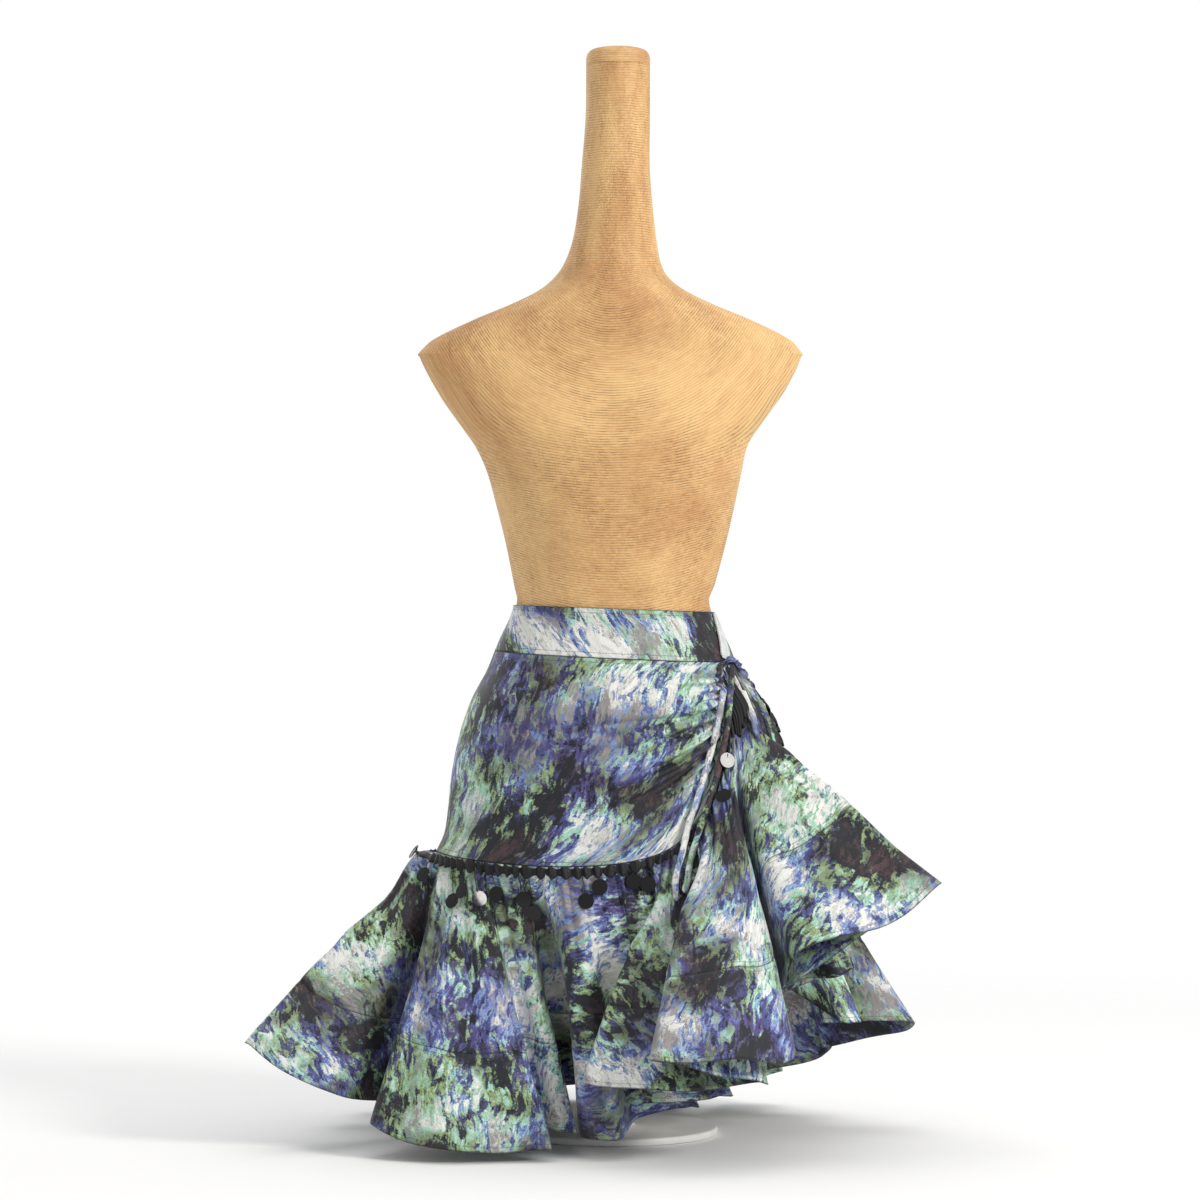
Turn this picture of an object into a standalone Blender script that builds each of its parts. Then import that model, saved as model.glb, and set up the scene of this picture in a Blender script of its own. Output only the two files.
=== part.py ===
"""Latin dance skirt worn on a tall-necked dress form with no limbs.

Metres, +Z up. The front faces -Y and the wearer's left is +X. The origin is
the middle of the stand's underside, on the floor.

The hips are ellipses whose size depends on the height. A place on them is an
angle round the body and a height: 0 degrees is the wearer's left side, -90 the
front, 180 the wearer's right side and 90 the back.
"""

from collections import namedtuple

import bmesh
import bpy
import numpy as np

# Cloth walls and the gaps between sewn pieces
WALL = 0.0016
SEAM_GAP = 0.0003
FORM_FIT = 0.0012
HALF_WALL = WALL / 2
SHARP_ANGLE = np.radians(50)

# Dress form and stand
FORM_SIDES = 30
FORM_HIP_HEIGHTS = (0.5880, 0.5800, 0.5700, 0.5550, 0.5330, 0.5090, 0.4750,
                    0.4375, 0.3950)
FORM_BOTTOM = 0.345
FORM_BOTTOM_ROUND = 0.022
CAP_SIDES = 20
POLE_RADIUS = 0.0125
POLE_SIDES = 20
BASE_SIDES = 32

Turned = namedtuple("Turned", "radius height")
CAP_PROFILE = (
    Turned(0.0350, 0.0000),
    Turned(0.0352, 0.0060),
    Turned(0.0341, 0.0110),
    Turned(0.0305, 0.0155),
    Turned(0.0210, 0.0185),
    Turned(0.0080, 0.0198),
)
BASE_PROFILE = (
    Turned(0.1150, 0.0000),
    Turned(0.1150, 0.0055),
    Turned(0.1125, 0.0080),
    Turned(0.0280, 0.0090),
    Turned(0.0220, 0.0130),
    Turned(0.0220, 0.0280),
    Turned(0.0200, 0.0300),
)

# Hips, as the middle of the skirt's wall
HIP_CENTRE_Y = 0.003
LEFT_SIDE_SEAM = -22.0
RIGHT_SIDE_SEAM = -180.0
SLIT_HALF_WIDTH = 3.5
BAND_SIDES = 44
BAND_TOP = 0.5767
BAND_TOP_TILT = 0.0039
BAND_BOTTOM = 0.5240
BAND_BOTTOM_TILT = 0.0060
BAND_BOTTOM_RISE = 0.0015

# Zip tape on the band: angle and height of its two ends
ZIP_TOP = (-8.6, 0.5715)
ZIP_LOW = (-23.6, 0.5215)
ZIP_HALF_WIDTH = 6.2
ZIP_COLUMNS = 5
ZIP_ROWS = 8
ZIP_ROUND_FROM = 0.84
ZIP_NARROWEST = 0.39
ZIP_SEAT = 0.0004
ZIP_THICKNESS = 0.0010

# Seam between hips and flounce: level at the right, climbing to the left hip
SEAM_LEVEL = 0.304
SEAM_SIDE_RISE = 0.006
SEAM_CLIMB = 0.208
SEAM_CLIMB_WIDTH = 28.0
SEAM_CLIMB_POWER = 3.75
CLIMB_EASE = 0.0006
HIP_RADIUS = 0.16

# Flounce and the ribbon under its seam
BAND_SHARE = 0.67
FOLD_ROUNDING = 0.008
FOLD_ROUNDING_SEAM = 0.9
CALM_STEP = 0.5
CALM_WIDTH = 9.0
FOLD_OPENING = 0.40
LEAVING = 0.12
LEAVING_FADE = 8
TURN_WEIGHT = 0.022
SOFTENING = (0, 2, 2, 1, 1)
SEAM_HALF_WALL = 0.0005
HIP_CLEARANCE = 0.0015
FLOUNCE_COLUMNS = 200
FLOUNCE_ROWS = (0.0, 0.045, 0.15, 0.31, 0.49)
HEM_BAND_ROWS = 2
SEAM_LENGTH = 1.45
TRIM_RUFFLES = 96
TRIM_SEAT = 0.0013
TRIM_END = 0.002
TRIM_THICKNESS = 0.0018
TRIM_EDGES = (0.15, 0.96)
TRIM_RUFFLE_DEPTHS = (0.0008, 0.0034)

FormSection = namedtuple(
    "FormSection", "height half_width half_depth centre_x power")
FORM_SECTIONS = (
    FormSection(1.1742, 0.0351, 0.0351, 0.0056, 2.0),
    FormSection(1.1184, 0.0354, 0.0354, 0.0053, 2.0),
    FormSection(1.0640, 0.0374, 0.0372, 0.0030, 2.0),
    FormSection(1.0200, 0.0408, 0.0400, 0.0027, 2.0),
    FormSection(0.9800, 0.0465, 0.0448, 0.0016, 2.0),
    FormSection(0.9550, 0.0537, 0.0500, -0.0006, 2.0),
    FormSection(0.9413, 0.0622, 0.0545, -0.0017, 2.0),
    FormSection(0.9281, 0.0776, 0.0590, -0.0014, 2.0),
    FormSection(0.9116, 0.1100, 0.0640, -0.0011, 2.0),
    FormSection(0.8940, 0.1524, 0.0670, -0.0010, 2.0),
    FormSection(0.8709, 0.1979, 0.0670, -0.0019, 2.0),
    FormSection(0.8605, 0.2083, 0.0675, -0.0027, 2.0),
    FormSection(0.8520, 0.2092, 0.0700, -0.0028, 2.1),
    FormSection(0.8181, 0.1925, 0.0850, -0.0022, 2.3),
    FormSection(0.7950, 0.1771, 0.0930, -0.0028, 2.4),
    FormSection(0.7730, 0.1612, 0.0985, -0.0028, 2.4),
    FormSection(0.7530, 0.1487, 0.1005, -0.0017, 2.3),
    FormSection(0.7268, 0.1400, 0.1000, 0.0014, 2.2),
    FormSection(0.6894, 0.1309, 0.0960, 0.0027, 2.1),
    FormSection(0.6388, 0.1188, 0.0900, 0.0029, 2.0),
    FormSection(0.6020, 0.1102, 0.0868, 0.0015, 2.0),
)

HipSection = namedtuple("HipSection", "height half_width half_depth")
HIP_SECTIONS = (
    HipSection(0.5880, 0.1076, 0.0850),
    HipSection(0.5770, 0.1092, 0.0862),
    HipSection(0.5330, 0.1284, 0.0985),
    HipSection(0.5090, 0.1380, 0.1060),
    HipSection(0.4750, 0.1560, 0.1200),
    HipSection(0.4375, 0.1685, 0.1300),
    HipSection(0.3950, 0.1770, 0.1380),
    HipSection(0.3550, 0.1812, 0.1430),
    HipSection(0.3300, 0.1850, 0.1470),
    HipSection(0.3110, 0.1935, 0.1535),
    HipSection(0.2950, 0.2030, 0.1600),
)

# Drapes drawn together by the cord in a panel's climbing edge, from the top
Drape = namedtuple("Drape", "reach depth")
FRONT_DRAPES = (
    Drape(0.045, 0.0020),
    Drape(0.070, 0.0028),
    Drape(0.095, 0.0036),
    Drape(0.110, 0.0042),
    Drape(0.100, 0.0040),
    Drape(0.080, 0.0034),
    Drape(0.055, 0.0026),
)
BACK_DRAPES = (
    Drape(0.050, 0.0022),
    Drape(0.085, 0.0036),
    Drape(0.105, 0.0040),
    Drape(0.090, 0.0034),
    Drape(0.060, 0.0026),
)
DRAPE_ROWS = 3
PLAIN_ROWS = 3
DRAPE_FLANK = 0.25
DRAWN_FROM = 0.05
DRAWN_TO = 0.62
PANEL_COLUMNS = 19
COLUMN_CROWDING = 1.35
PANEL_CORNER = 43.0
SLIT_FOOT = 9.0

# Drawstring casings, thickest along their middle, puffed at every drape
CASING_EDGES = np.array([0.35, 1.0, 0.35])
CASING_RISE = 0.0024
CASING_PUFF = 0.0022
CASING_CLOTH = 0.0008
CASING_EDGE_INSET = 0.22

# One row for each fold of the flounce, going round from the wearer's right.
# seam_from and seam_to: the angles of seam that feed the fold's face.
# left and right: where the hem of its face begins and ends.
# belly and dip: how far the middle of the face stands out and hangs down.
# flare: under 1 the face leaves the seam steeply outwards, over 1 it falls
# first and flares towards the hem.
# valley: the hem's innermost place after the fold; floor: half its width.
Fold = namedtuple(
    "Fold", "seam_from seam_to left right belly dip flare valley floor")
FRONT_FOLDS = (
    Fold(-182, -170, (-0.388, -0.160, 0.115), (-0.290, -0.150, 0.058),
         0.008, 0.003, 0.76, (-0.215, -0.062, 0.042), 0.000),
    Fold(-159, -138, (-0.252, -0.205, 0.034), (-0.066, -0.232, 0.012),
         0.036, 0.009, 1.00, (-0.078, -0.168, 0.030), 0.000),
    Fold(-127, -123, (-0.054, -0.182, 0.024), (-0.039, -0.172, 0.022),
         0.002, 0.000, 1.05, (-0.042, -0.068, 0.060), 0.016),
    Fold(-107, -102, (-0.031, -0.220, 0.024), (0.009, -0.220, 0.022),
         0.010, 0.001, 1.05, (0.022, -0.162, 0.035), 0.000),
    Fold(-93, -90, (0.060, -0.160, 0.045), (0.091, -0.168, 0.050),
         0.000, 0.000, 1.30, (0.034, -0.198, 0.057), 0.000),
    Fold(-83, -80, (0.078, -0.222, 0.062), (0.122, -0.210, 0.067),
         0.003, 0.000, 1.25, (0.050, -0.245, 0.076), 0.000),
    Fold(-73, -64, (-0.030, -0.270, 0.087), (0.157, -0.246, 0.083),
         0.024, 0.006, 0.90, (0.100, -0.300, 0.100), 0.000),
    Fold(-58, -49, (0.042, -0.328, 0.116), (0.187, -0.258, 0.111),
         0.032, -0.002, 0.78, (0.168, -0.172, 0.165), 0.000),
    Fold(-39, -26, (0.192, -0.235, 0.220), (0.345, -0.180, 0.286),
         0.020, 0.008, 1.35, (0.205, -0.092, 0.178), 0.000),
    Fold(-17, -13, (0.240, -0.102, 0.180), (0.256, -0.088, 0.188),
         0.002, 0.000, 1.15, (0.190, -0.050, 0.162), 0.000),
)
BACK_FOLDS = (
    Fold(-1, 2, (0.252, -0.052, 0.126), (0.268, -0.040, 0.125),
         0.002, 0.000, 1.10, (0.232, -0.006, 0.122), 0.000),
    Fold(8, 12, (0.328, 0.016, 0.120), (0.322, 0.055, 0.106),
         0.008, 0.000, 1.10, (0.240, 0.088, 0.085), 0.000),
    Fold(20, 24, (0.246, 0.140, 0.078), (0.236, 0.172, 0.064),
         0.004, 0.000, 1.05, (0.176, 0.178, 0.048), 0.000),
    Fold(36, 47, (0.196, 0.238, 0.040), (0.140, 0.274, 0.028),
         0.012, 0.003, 1.00, (0.094, 0.185, 0.034), 0.000),
    Fold(63, 77, (0.078, 0.278, 0.024), (0.006, 0.298, 0.018),
         0.014, 0.002, 1.00, (-0.018, 0.190, 0.032), 0.000),
    Fold(91, 103, (-0.040, 0.300, 0.020), (-0.098, 0.290, 0.022),
         0.010, 0.002, 1.00, (-0.084, 0.192, 0.034), 0.000),
    Fold(116, 129, (-0.146, 0.268, 0.024), (-0.212, 0.228, 0.030),
         0.014, 0.003, 1.00, (-0.168, 0.146, 0.038), 0.000),
    Fold(142, 152, (-0.246, 0.198, 0.040), (-0.286, 0.152, 0.050),
         0.010, 0.002, 1.00, (-0.208, 0.086, 0.044), 0.000),
    Fold(162, 170, (-0.300, 0.082, 0.064), (-0.304, 0.030, 0.072),
         0.006, 0.000, 0.90, (-0.230, -0.004, 0.056), 0.000),
)

# Middle lines of the drawstring ends, each from its casing to its free end
TIE_RADIUS = 0.003
TIE_STEP = 0.0125
TIE_ROUTES = {
    "tie_front": (
        (0.1199, -0.0805, 0.4909),
        (0.1151, -0.0978, 0.4676),
        (0.1095, -0.1070, 0.4410),
        (0.1029, -0.1132, 0.4176),
        (0.0953, -0.1209, 0.3912),
        (0.0877, -0.1271, 0.3669),
        (0.0811, -0.1342, 0.3491),
        (0.0767, -0.1414, 0.3324),
        (0.0734, -0.1507, 0.3181),
        (0.0690, -0.1565, 0.3036),
        (0.0657, -0.1658, 0.2893),
        (0.0656, -0.1729, 0.2782),
        (0.0666, -0.1785, 0.2680),
    ),
    "tie_middle": (
        (0.1295, -0.0498, 0.5131),
        (0.1279, -0.0657, 0.5004),
        (0.1266, -0.0740, 0.4875),
        (0.1252, -0.0833, 0.4726),
        (0.1239, -0.0912, 0.4588),
        (0.1204, -0.1025, 0.4377),
        (0.1159, -0.1097, 0.4175),
        (0.1081, -0.1204, 0.3869),
        (0.0992, -0.1345, 0.3619),
        (0.0927, -0.1429, 0.3453),
        (0.0884, -0.1443, 0.3305),
        (0.0840, -0.1482, 0.3169),
        (0.0807, -0.1559, 0.3035),
        (0.0784, -0.1635, 0.2903),
        (0.0751, -0.1715, 0.2760),
    ),
    "tie_back": (
        (0.1404, -0.0482, 0.4881),
        (0.1456, -0.0558, 0.4752),
        (0.1507, -0.0635, 0.4624),
        (0.1535, -0.0785, 0.4498),
        (0.1555, -0.0828, 0.4370),
    ),
}


def remove_everything():
    """Empty the file, so that the skirt is built on its own."""
    for item in list(bpy.data.objects):
        bpy.data.objects.remove(item, do_unlink=True)


def make_material(name, colour, roughness, metallic=0.0):
    """A plain finish for one sub-part."""
    material = bpy.data.materials.new(name)
    material.use_nodes = True
    shader = material.node_tree.nodes["Principled BSDF"]
    shader.inputs["Base Color"].default_value = (*colour, 1.0)
    shader.inputs["Roughness"].default_value = roughness
    shader.inputs["Metallic"].default_value = metallic
    return material


def add_mesh_object(name, vertices, faces, material):
    """Put one closed body into the scene, with its faces turned outwards."""
    mesh = bpy.data.meshes.new(name)
    mesh.from_pydata([tuple(v) for v in vertices], [], faces)
    shell = bmesh.new()
    shell.from_mesh(mesh)
    bmesh.ops.recalc_face_normals(shell, faces=shell.faces)
    shell.to_mesh(mesh)
    shell.free()
    mesh.shade_smooth()
    mesh.set_sharp_from_angle(angle=SHARP_ANGLE)
    mesh.materials.append(material)
    item = bpy.data.objects.new(name, mesh)
    bpy.context.scene.collection.objects.link(item)
    return item


def smooth_rows(rows, steps):
    """Rows of numbers joined by centripetal Catmull-Rom spans.

    The first and last row only steer the curve and aren't reached.
    """
    rows = np.asarray(rows, float)
    samples = []
    for p0, p1, p2, p3 in zip(rows, rows[1:], rows[2:], rows[3:]):
        k1 = np.sqrt(np.linalg.norm(p1 - p0))
        k2 = k1 + np.sqrt(np.linalg.norm(p2 - p1))
        k3 = k2 + np.sqrt(np.linalg.norm(p3 - p2))
        k = np.linspace(k1, k2, steps, endpoint=False)[:, None]
        a1 = (k1 - k) / k1 * p0 + k / k1 * p1
        a2 = (k2 - k) / (k2 - k1) * p1 + (k - k1) / (k2 - k1) * p2
        a3 = (k3 - k) / (k3 - k2) * p2 + (k - k2) / (k3 - k2) * p3
        b1 = (k2 - k) / k2 * a1 + k / k2 * a2
        b2 = (k3 - k) / (k3 - k1) * a2 + (k - k1) / (k3 - k1) * a3
        samples.append((k2 - k) / (k2 - k1) * b1 + (k - k1) / (k2 - k1) * b2)
    samples.append(rows[-2:-1])
    return np.vstack(samples)


def open_rows(rows, steps):
    """A smooth curve from the first row to the last."""
    rows = np.asarray(rows, float)
    before = 2 * rows[0] - rows[1]
    after = 2 * rows[-1] - rows[-2]
    return smooth_rows(np.vstack([before, rows, after]), steps)


HIP_CURVE = open_rows(HIP_SECTIONS, 8)[::-1]


def on_hips(angle, height, out=0.0):
    """Points on the hips at angles in degrees and heights, moved out."""
    angle, height = np.broadcast_arrays(np.radians(angle), height)
    half_width = np.interp(height, HIP_CURVE[:, 0], HIP_CURVE[:, 1]) + out
    half_depth = np.interp(height, HIP_CURVE[:, 0], HIP_CURVE[:, 2]) + out
    return np.stack([half_width * np.cos(angle),
                     HIP_CENTRE_Y + half_depth * np.sin(angle),
                     height], axis=-1)


def from_left_seam(angle):
    """Signed angle from the left side seam, between -180 and 180."""
    return (np.asarray(angle, float) - LEFT_SIDE_SEAM + 180) % 360 - 180


def seam_height(angle):
    """Height of the flounce seam: nearly level, with a hump at the left hip."""
    away = np.abs(from_left_seam(angle)) / SEAM_CLIMB_WIDTH
    level = SEAM_LEVEL + SEAM_SIDE_RISE * np.cos(2 * np.radians(angle))
    return level + SEAM_CLIMB / (1 + away ** SEAM_CLIMB_POWER)


def seam_gap_at(angle):
    """Upright size of half a seam gap, larger where the seam is steep."""
    step = 0.5
    rise = (seam_height(angle + step) - seam_height(angle - step)) / (2 * step)
    run = np.radians(1.0) * HIP_RADIUS
    climbed = (seam_height(angle) - SEAM_LEVEL) / SEAM_CLIMB
    gap = SEAM_GAP / 2 + CLIMB_EASE * np.clip(climbed, 0, 1)
    return gap * np.sqrt(1 + (rise / run) ** 2)


def band_top(angle):
    """Height of the waistband's upper edge, lower at the wearer's left."""
    return BAND_TOP - BAND_TOP_TILT * np.cos(np.radians(angle))


def band_bottom(angle):
    """Height of the waistband's lower seam, lowest at the front and left."""
    turn = np.radians(angle)
    return (BAND_BOTTOM - BAND_BOTTOM_TILT * np.cos(turn)
            + BAND_BOTTOM_RISE * np.sin(turn))


def surface_normals(grid, ring=False):
    """Unit normals of a grid of points, from the steps to its neighbours."""
    down = np.gradient(grid, axis=0)
    if ring:
        along = np.roll(grid, -1, axis=1) - np.roll(grid, 1, axis=1)
    else:
        along = np.gradient(grid, axis=1)
    normal = np.cross(down, along)
    return normal / np.linalg.norm(normal, axis=-1, keepdims=True)


def wall_between(name, outer, inner, material, ring=False):
    """A closed wall from two grids with the same rows and columns.

    Both skins are cut into triangles along the same diagonals, the shorter
    ones, so that they stay parallel where the wall twists.
    """
    rows, columns = outer.shape[:2]
    count = rows * columns
    index = np.arange(count).reshape(rows, columns)
    places = outer
    if ring:
        index = np.hstack([index, index[:, :1]])
        places = np.hstack([outer, outer[:, :1]])
    one = np.linalg.norm(places[:-1, :-1] - places[1:, 1:], axis=-1)
    other = np.linalg.norm(places[:-1, 1:] - places[1:, :-1], axis=-1)
    faces = []
    for r, c in np.ndindex(one.shape):
        a, b = index[r, c], index[r, c + 1]
        d, e = index[r + 1, c], index[r + 1, c + 1]
        if one[r, c] < other[r, c]:
            halves = ((a, b, e), (a, e, d))
        else:
            halves = ((a, b, d), (b, e, d))
        for half in halves:
            faces.append(half)
            faces.append(tuple(corner + count for corner in half[::-1]))
    rims = [index[0], index[-1]]
    if not ring:
        rims += [index[:, 0], index[:, -1]]
    for rim in rims:
        for a, b in zip(rim, rim[1:]):
            faces.append((a, b, b + count, a + count))
    vertices = np.vstack([outer.reshape(-1, 3), inner.reshape(-1, 3)])
    return add_mesh_object(name, vertices, faces, material)


def turned_body(name, rings, material):
    """A closed body from rings of points, with a flat face at each end."""
    rings = np.asarray(rings)
    count = rings.shape[1]
    faces = [tuple(range(count))[::-1]]
    for r in range(len(rings) - 1):
        for c in range(count):
            n = (c + 1) % count
            faces.append((r * count + c, r * count + n,
                          (r + 1) * count + n, (r + 1) * count + c))
    last = (len(rings) - 1) * count
    faces.append(tuple(range(last, last + count)))
    return add_mesh_object(name, rings.reshape(-1, 3), faces, material)


def ring_of(sides, half_width, half_depth, height, centre=(0, 0), power=2.0):
    """One closed section: an ellipse, or squarer with a higher power."""
    turn = np.linspace(0, 2 * np.pi, sides, endpoint=False)
    across = np.cos(turn)
    deep = np.sin(turn)
    x = np.sign(across) * np.abs(across) ** (2 / power) * half_width
    y = np.sign(deep) * np.abs(deep) ** (2 / power) * half_depth
    return np.stack([centre[0] + x, centre[1] + y,
                     np.full(sides, height)], axis=-1)


def make_form(material):
    """Torso from the neck down to a rounded flat bottom inside the skirt."""
    rings = [ring_of(FORM_SIDES, width, depth, height, (centre_x, 0), power)
             for height, width, depth, centre_x, power in FORM_SECTIONS]
    slack = HALF_WALL + FORM_FIT
    for height in FORM_HIP_HEIGHTS:
        width, depth = hip_size(height)
        rings.append(ring_of(FORM_SIDES, width - slack, depth - slack, height,
                             (0, HIP_CENTRE_Y)))
    width, depth = hip_size(FORM_BOTTOM + FORM_BOTTOM_ROUND)
    for turn in np.radians((0, 30, 60, 90)):
        pulled = FORM_BOTTOM_ROUND * (1 - np.cos(turn)) + slack
        height = FORM_BOTTOM + FORM_BOTTOM_ROUND * (1 - np.sin(turn))
        rings.append(ring_of(FORM_SIDES, width - pulled, depth - pulled,
                             height, (0, HIP_CENTRE_Y)))
    return turned_body("form_torso", rings, material)


def hip_size(height):
    """Half width and half depth of the skirt's wall at a height."""
    return (np.interp(height, HIP_CURVE[:, 0], HIP_CURVE[:, 1]),
            np.interp(height, HIP_CURVE[:, 0], HIP_CURVE[:, 2]))


def make_neck_cap(material):
    """Low dome that closes the neck."""
    top = FORM_SECTIONS[0]
    start = top.height + SEAM_GAP
    rings = [ring_of(CAP_SIDES, radius, radius, start + rise,
                     (top.centre_x, 0)) for radius, rise in CAP_PROFILE]
    return turned_body("form_neck_cap", rings, material)


def make_stand(material):
    """Round plate with a hub, and the pole between hub and form."""
    turned_body("stand_base",
                [ring_of(BASE_SIDES, radius, radius, height)
                 for radius, height in BASE_PROFILE], material)
    ends = (BASE_PROFILE[-1].height + SEAM_GAP, FORM_BOTTOM - SEAM_GAP)
    turned_body("stand_pole",
                [ring_of(POLE_SIDES, POLE_RADIUS, POLE_RADIUS, z)
                 for z in ends], material)


def make_waistband(material):
    """Shaped band round the waist, between two gently tilted edges."""
    angles = np.linspace(-180, 180, BAND_SIDES, endpoint=False)
    share = np.linspace(0, 1, 3)[:, None]
    low = band_bottom(angles) + SEAM_GAP / 2
    height = band_top(angles) * (1 - share) + low * share
    return wall_between("waistband", on_hips(angles, height, HALF_WALL),
                        on_hips(angles, height, -HALF_WALL), material,
                        ring=True)


def make_side_zip(material):
    """Zip tape on the band, leaning towards the slit, with a round end."""
    down = np.linspace(0, 1, ZIP_ROWS)
    middle = np.interp(down, (0, 1), (ZIP_TOP[0], ZIP_LOW[0]))
    height = np.interp(down, (0, 1), (ZIP_TOP[1], ZIP_LOW[1]))
    rounding = ((down - ZIP_ROUND_FROM) / (1 - ZIP_ROUND_FROM)).clip(0)
    taper = np.sqrt(1 - rounding ** 2).clip(ZIP_NARROWEST)
    across = ZIP_HALF_WIDTH * np.linspace(-1, 1, ZIP_COLUMNS)
    angles = middle[:, None] + taper[:, None] * across
    heights = np.repeat(height[:, None], across.size, axis=1)
    seat = HALF_WALL + ZIP_SEAT
    return wall_between("side_zip",
                        on_hips(angles, heights, seat + ZIP_THICKNESS),
                        on_hips(angles, heights, seat), material)


def climbing_edge(side, share):
    """Angle and height down a panel's drawn-up edge, 0 at the band.

    Side is -1 for the front panel and 1 for the back one.
    """
    swing = np.linspace(SLIT_HALF_WIDTH, PANEL_CORNER, 200)
    angle = LEFT_SIDE_SEAM + side * swing
    lift = np.clip((SLIT_FOOT - swing) / (SLIT_FOOT - SLIT_HALF_WIDTH), 0, 1)
    top = band_bottom(angle) - SEAM_GAP / 2
    height = seam_height(angle) + seam_gap_at(angle)
    height = height + (top - height) * lift ** 2
    along = np.hypot(np.diff(np.radians(swing)) * HIP_RADIUS, np.diff(height))
    along = np.concatenate([[0], np.cumsum(along)])
    place = np.asarray(share) * along[-1]
    return np.interp(place, along, angle), np.interp(place, along, height)


def panel_shares(drapes):
    """Row places down the climbing edge and down the far side seam."""
    drape_rows = DRAPE_ROWS * len(drapes)
    drawn = np.linspace(DRAWN_FROM, DRAWN_TO, drape_rows + 1)
    plain = np.linspace(DRAWN_TO, 1, PLAIN_ROWS + 1)[1:]
    edge = np.concatenate([[0.0], drawn, plain])
    far = np.linspace(0, 1, edge.size)
    return edge, far


def panel_grid(side, drapes):
    """Angle, height and drape lift of a hip panel's points.

    The patch is stretched between four curves: the band above, the level
    seam below, the far side seam and the drawn-up edge. Its rows fan out of
    that edge, and the drapes are ridges along them.
    """
    edge, far = panel_shares(drapes)
    end_angle, end_height = climbing_edge(side, edge)
    fine = 1 - (1 - np.linspace(0, 1, PANEL_COLUMNS + 1)) ** COLUMN_CROWDING
    half_gap = np.degrees(SEAM_GAP / 2 / HIP_SECTIONS[-1].half_width)
    if side < 0:
        start_angle = RIGHT_SIDE_SEAM + half_gap
    else:
        start_angle = RIGHT_SIDE_SEAM + 360 - half_gap
    top_angle = start_angle + (end_angle[0] - start_angle) * fine
    low_angle = start_angle + (end_angle[-1] - start_angle) * fine
    top = band_bottom(top_angle) - SEAM_GAP / 2
    low = seam_height(low_angle) + seam_gap_at(low_angle)
    w = far[:, None]
    u = fine[None, :]
    start_height = top[0] * (1 - far) + low[0] * far

    def patch(above, below, begin, end):
        sides = (1 - w) * above + w * below + (1 - u) * begin[:, None]
        sides = sides + u * end[:, None]
        corners = (1 - u) * ((1 - w) * above[0] + w * below[0])
        corners = corners + u * ((1 - w) * above[-1] + w * below[-1])
        return sides - corners

    begin_angle = np.full(far.size, start_angle)
    angle = patch(top_angle, low_angle, begin_angle, end_angle)
    height = patch(top, low, start_height, end_height)
    away = np.radians(np.abs(end_angle[:, None] - angle)) * HIP_RADIUS
    lift = np.zeros_like(angle)
    for number, drape in enumerate(drapes):
        row = 2 + DRAPE_ROWS * number
        lift[row] = drape.depth * np.exp(-(away[row] / drape.reach) ** 2)
        lift[row + 1] = lift[row] * DRAPE_FLANK
    return angle, height, lift


def panel_points(side, drapes):
    """Middle surface of a hip panel and its normals."""
    angle, height, lift = panel_grid(side, drapes)
    middle = on_hips(angle, height, lift)
    normal = -side * surface_normals(middle)
    normal[:, 0, 1] = 0
    return middle, normal / np.linalg.norm(normal, axis=-1, keepdims=True)


def make_hip_panel(name, side, drapes, material):
    """One hip panel as a wall about its middle surface."""
    middle, normal = panel_points(side, drapes)
    return wall_between(name, middle + normal * HALF_WALL,
                        middle - normal * HALF_WALL, material)


def make_casing(name, side, drapes, material):
    """Puffed drawstring casing on a panel's climbing edge.

    It is made from the panel's last columns of points, moved out.
    """
    middle, normal = panel_points(side, drapes)
    strip = middle[1:-1, -3:].copy()
    strip[:, -1] += CASING_EDGE_INSET * (strip[:, -2] - strip[:, -1])
    out = normal[1:-1, -3:]
    at_drape = np.arange(len(strip)) % DRAPE_ROWS == DRAPE_ROWS - 1
    rise = np.outer(CASING_RISE + CASING_PUFF * at_drape, CASING_EDGES)
    seat = HALF_WALL + SEAM_GAP
    outer = strip + out * (seat + CASING_CLOTH + rise)[..., None]
    return wall_between(name, outer, strip + out * seat, material)


def hem_rows():
    """Seam angle, hem place and flare at each turn of the flounce.

    The second value says which row ends the front cut.
    """
    folds = FRONT_FOLDS + BACK_FOLDS
    rows = []
    front_end = 0
    for number, fold in enumerate(folds):
        after = folds[(number + 1) % len(folds)]
        next_from = after.seam_from + (360 if after is folds[0] else 0)
        middle = (np.array(fold.left) + fold.right) / 2
        outward = np.array([middle[0], middle[1], 0])
        outward = outward / np.linalg.norm(outward)
        middle = middle + fold.belly * outward - (0, 0, fold.dip)
        half_way = (fold.seam_from + fold.seam_to) / 2
        rows.append((fold.seam_from, *fold.left, fold.flare))
        rows.append((half_way, *middle, fold.flare))
        rows.append((fold.seam_to, *fold.right, fold.flare))
        valley = np.array(fold.valley)
        across = np.array([-valley[1], valley[0], 0])
        across = across / np.linalg.norm(across) * fold.floor
        gap = next_from - fold.seam_to
        flare = (fold.flare + after.flare) / 2
        if fold.floor > 0:
            rows.append((fold.seam_to + 0.4 * gap, *(valley - across), flare))
            rows.append((fold.seam_to + 0.6 * gap, *(valley + across), flare))
        else:
            rows.append((fold.seam_to + 0.5 * gap, *valley, flare))
        if fold is FRONT_FOLDS[-1]:
            front_end = len(rows) - 1
    return np.array(rows), front_end


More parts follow.
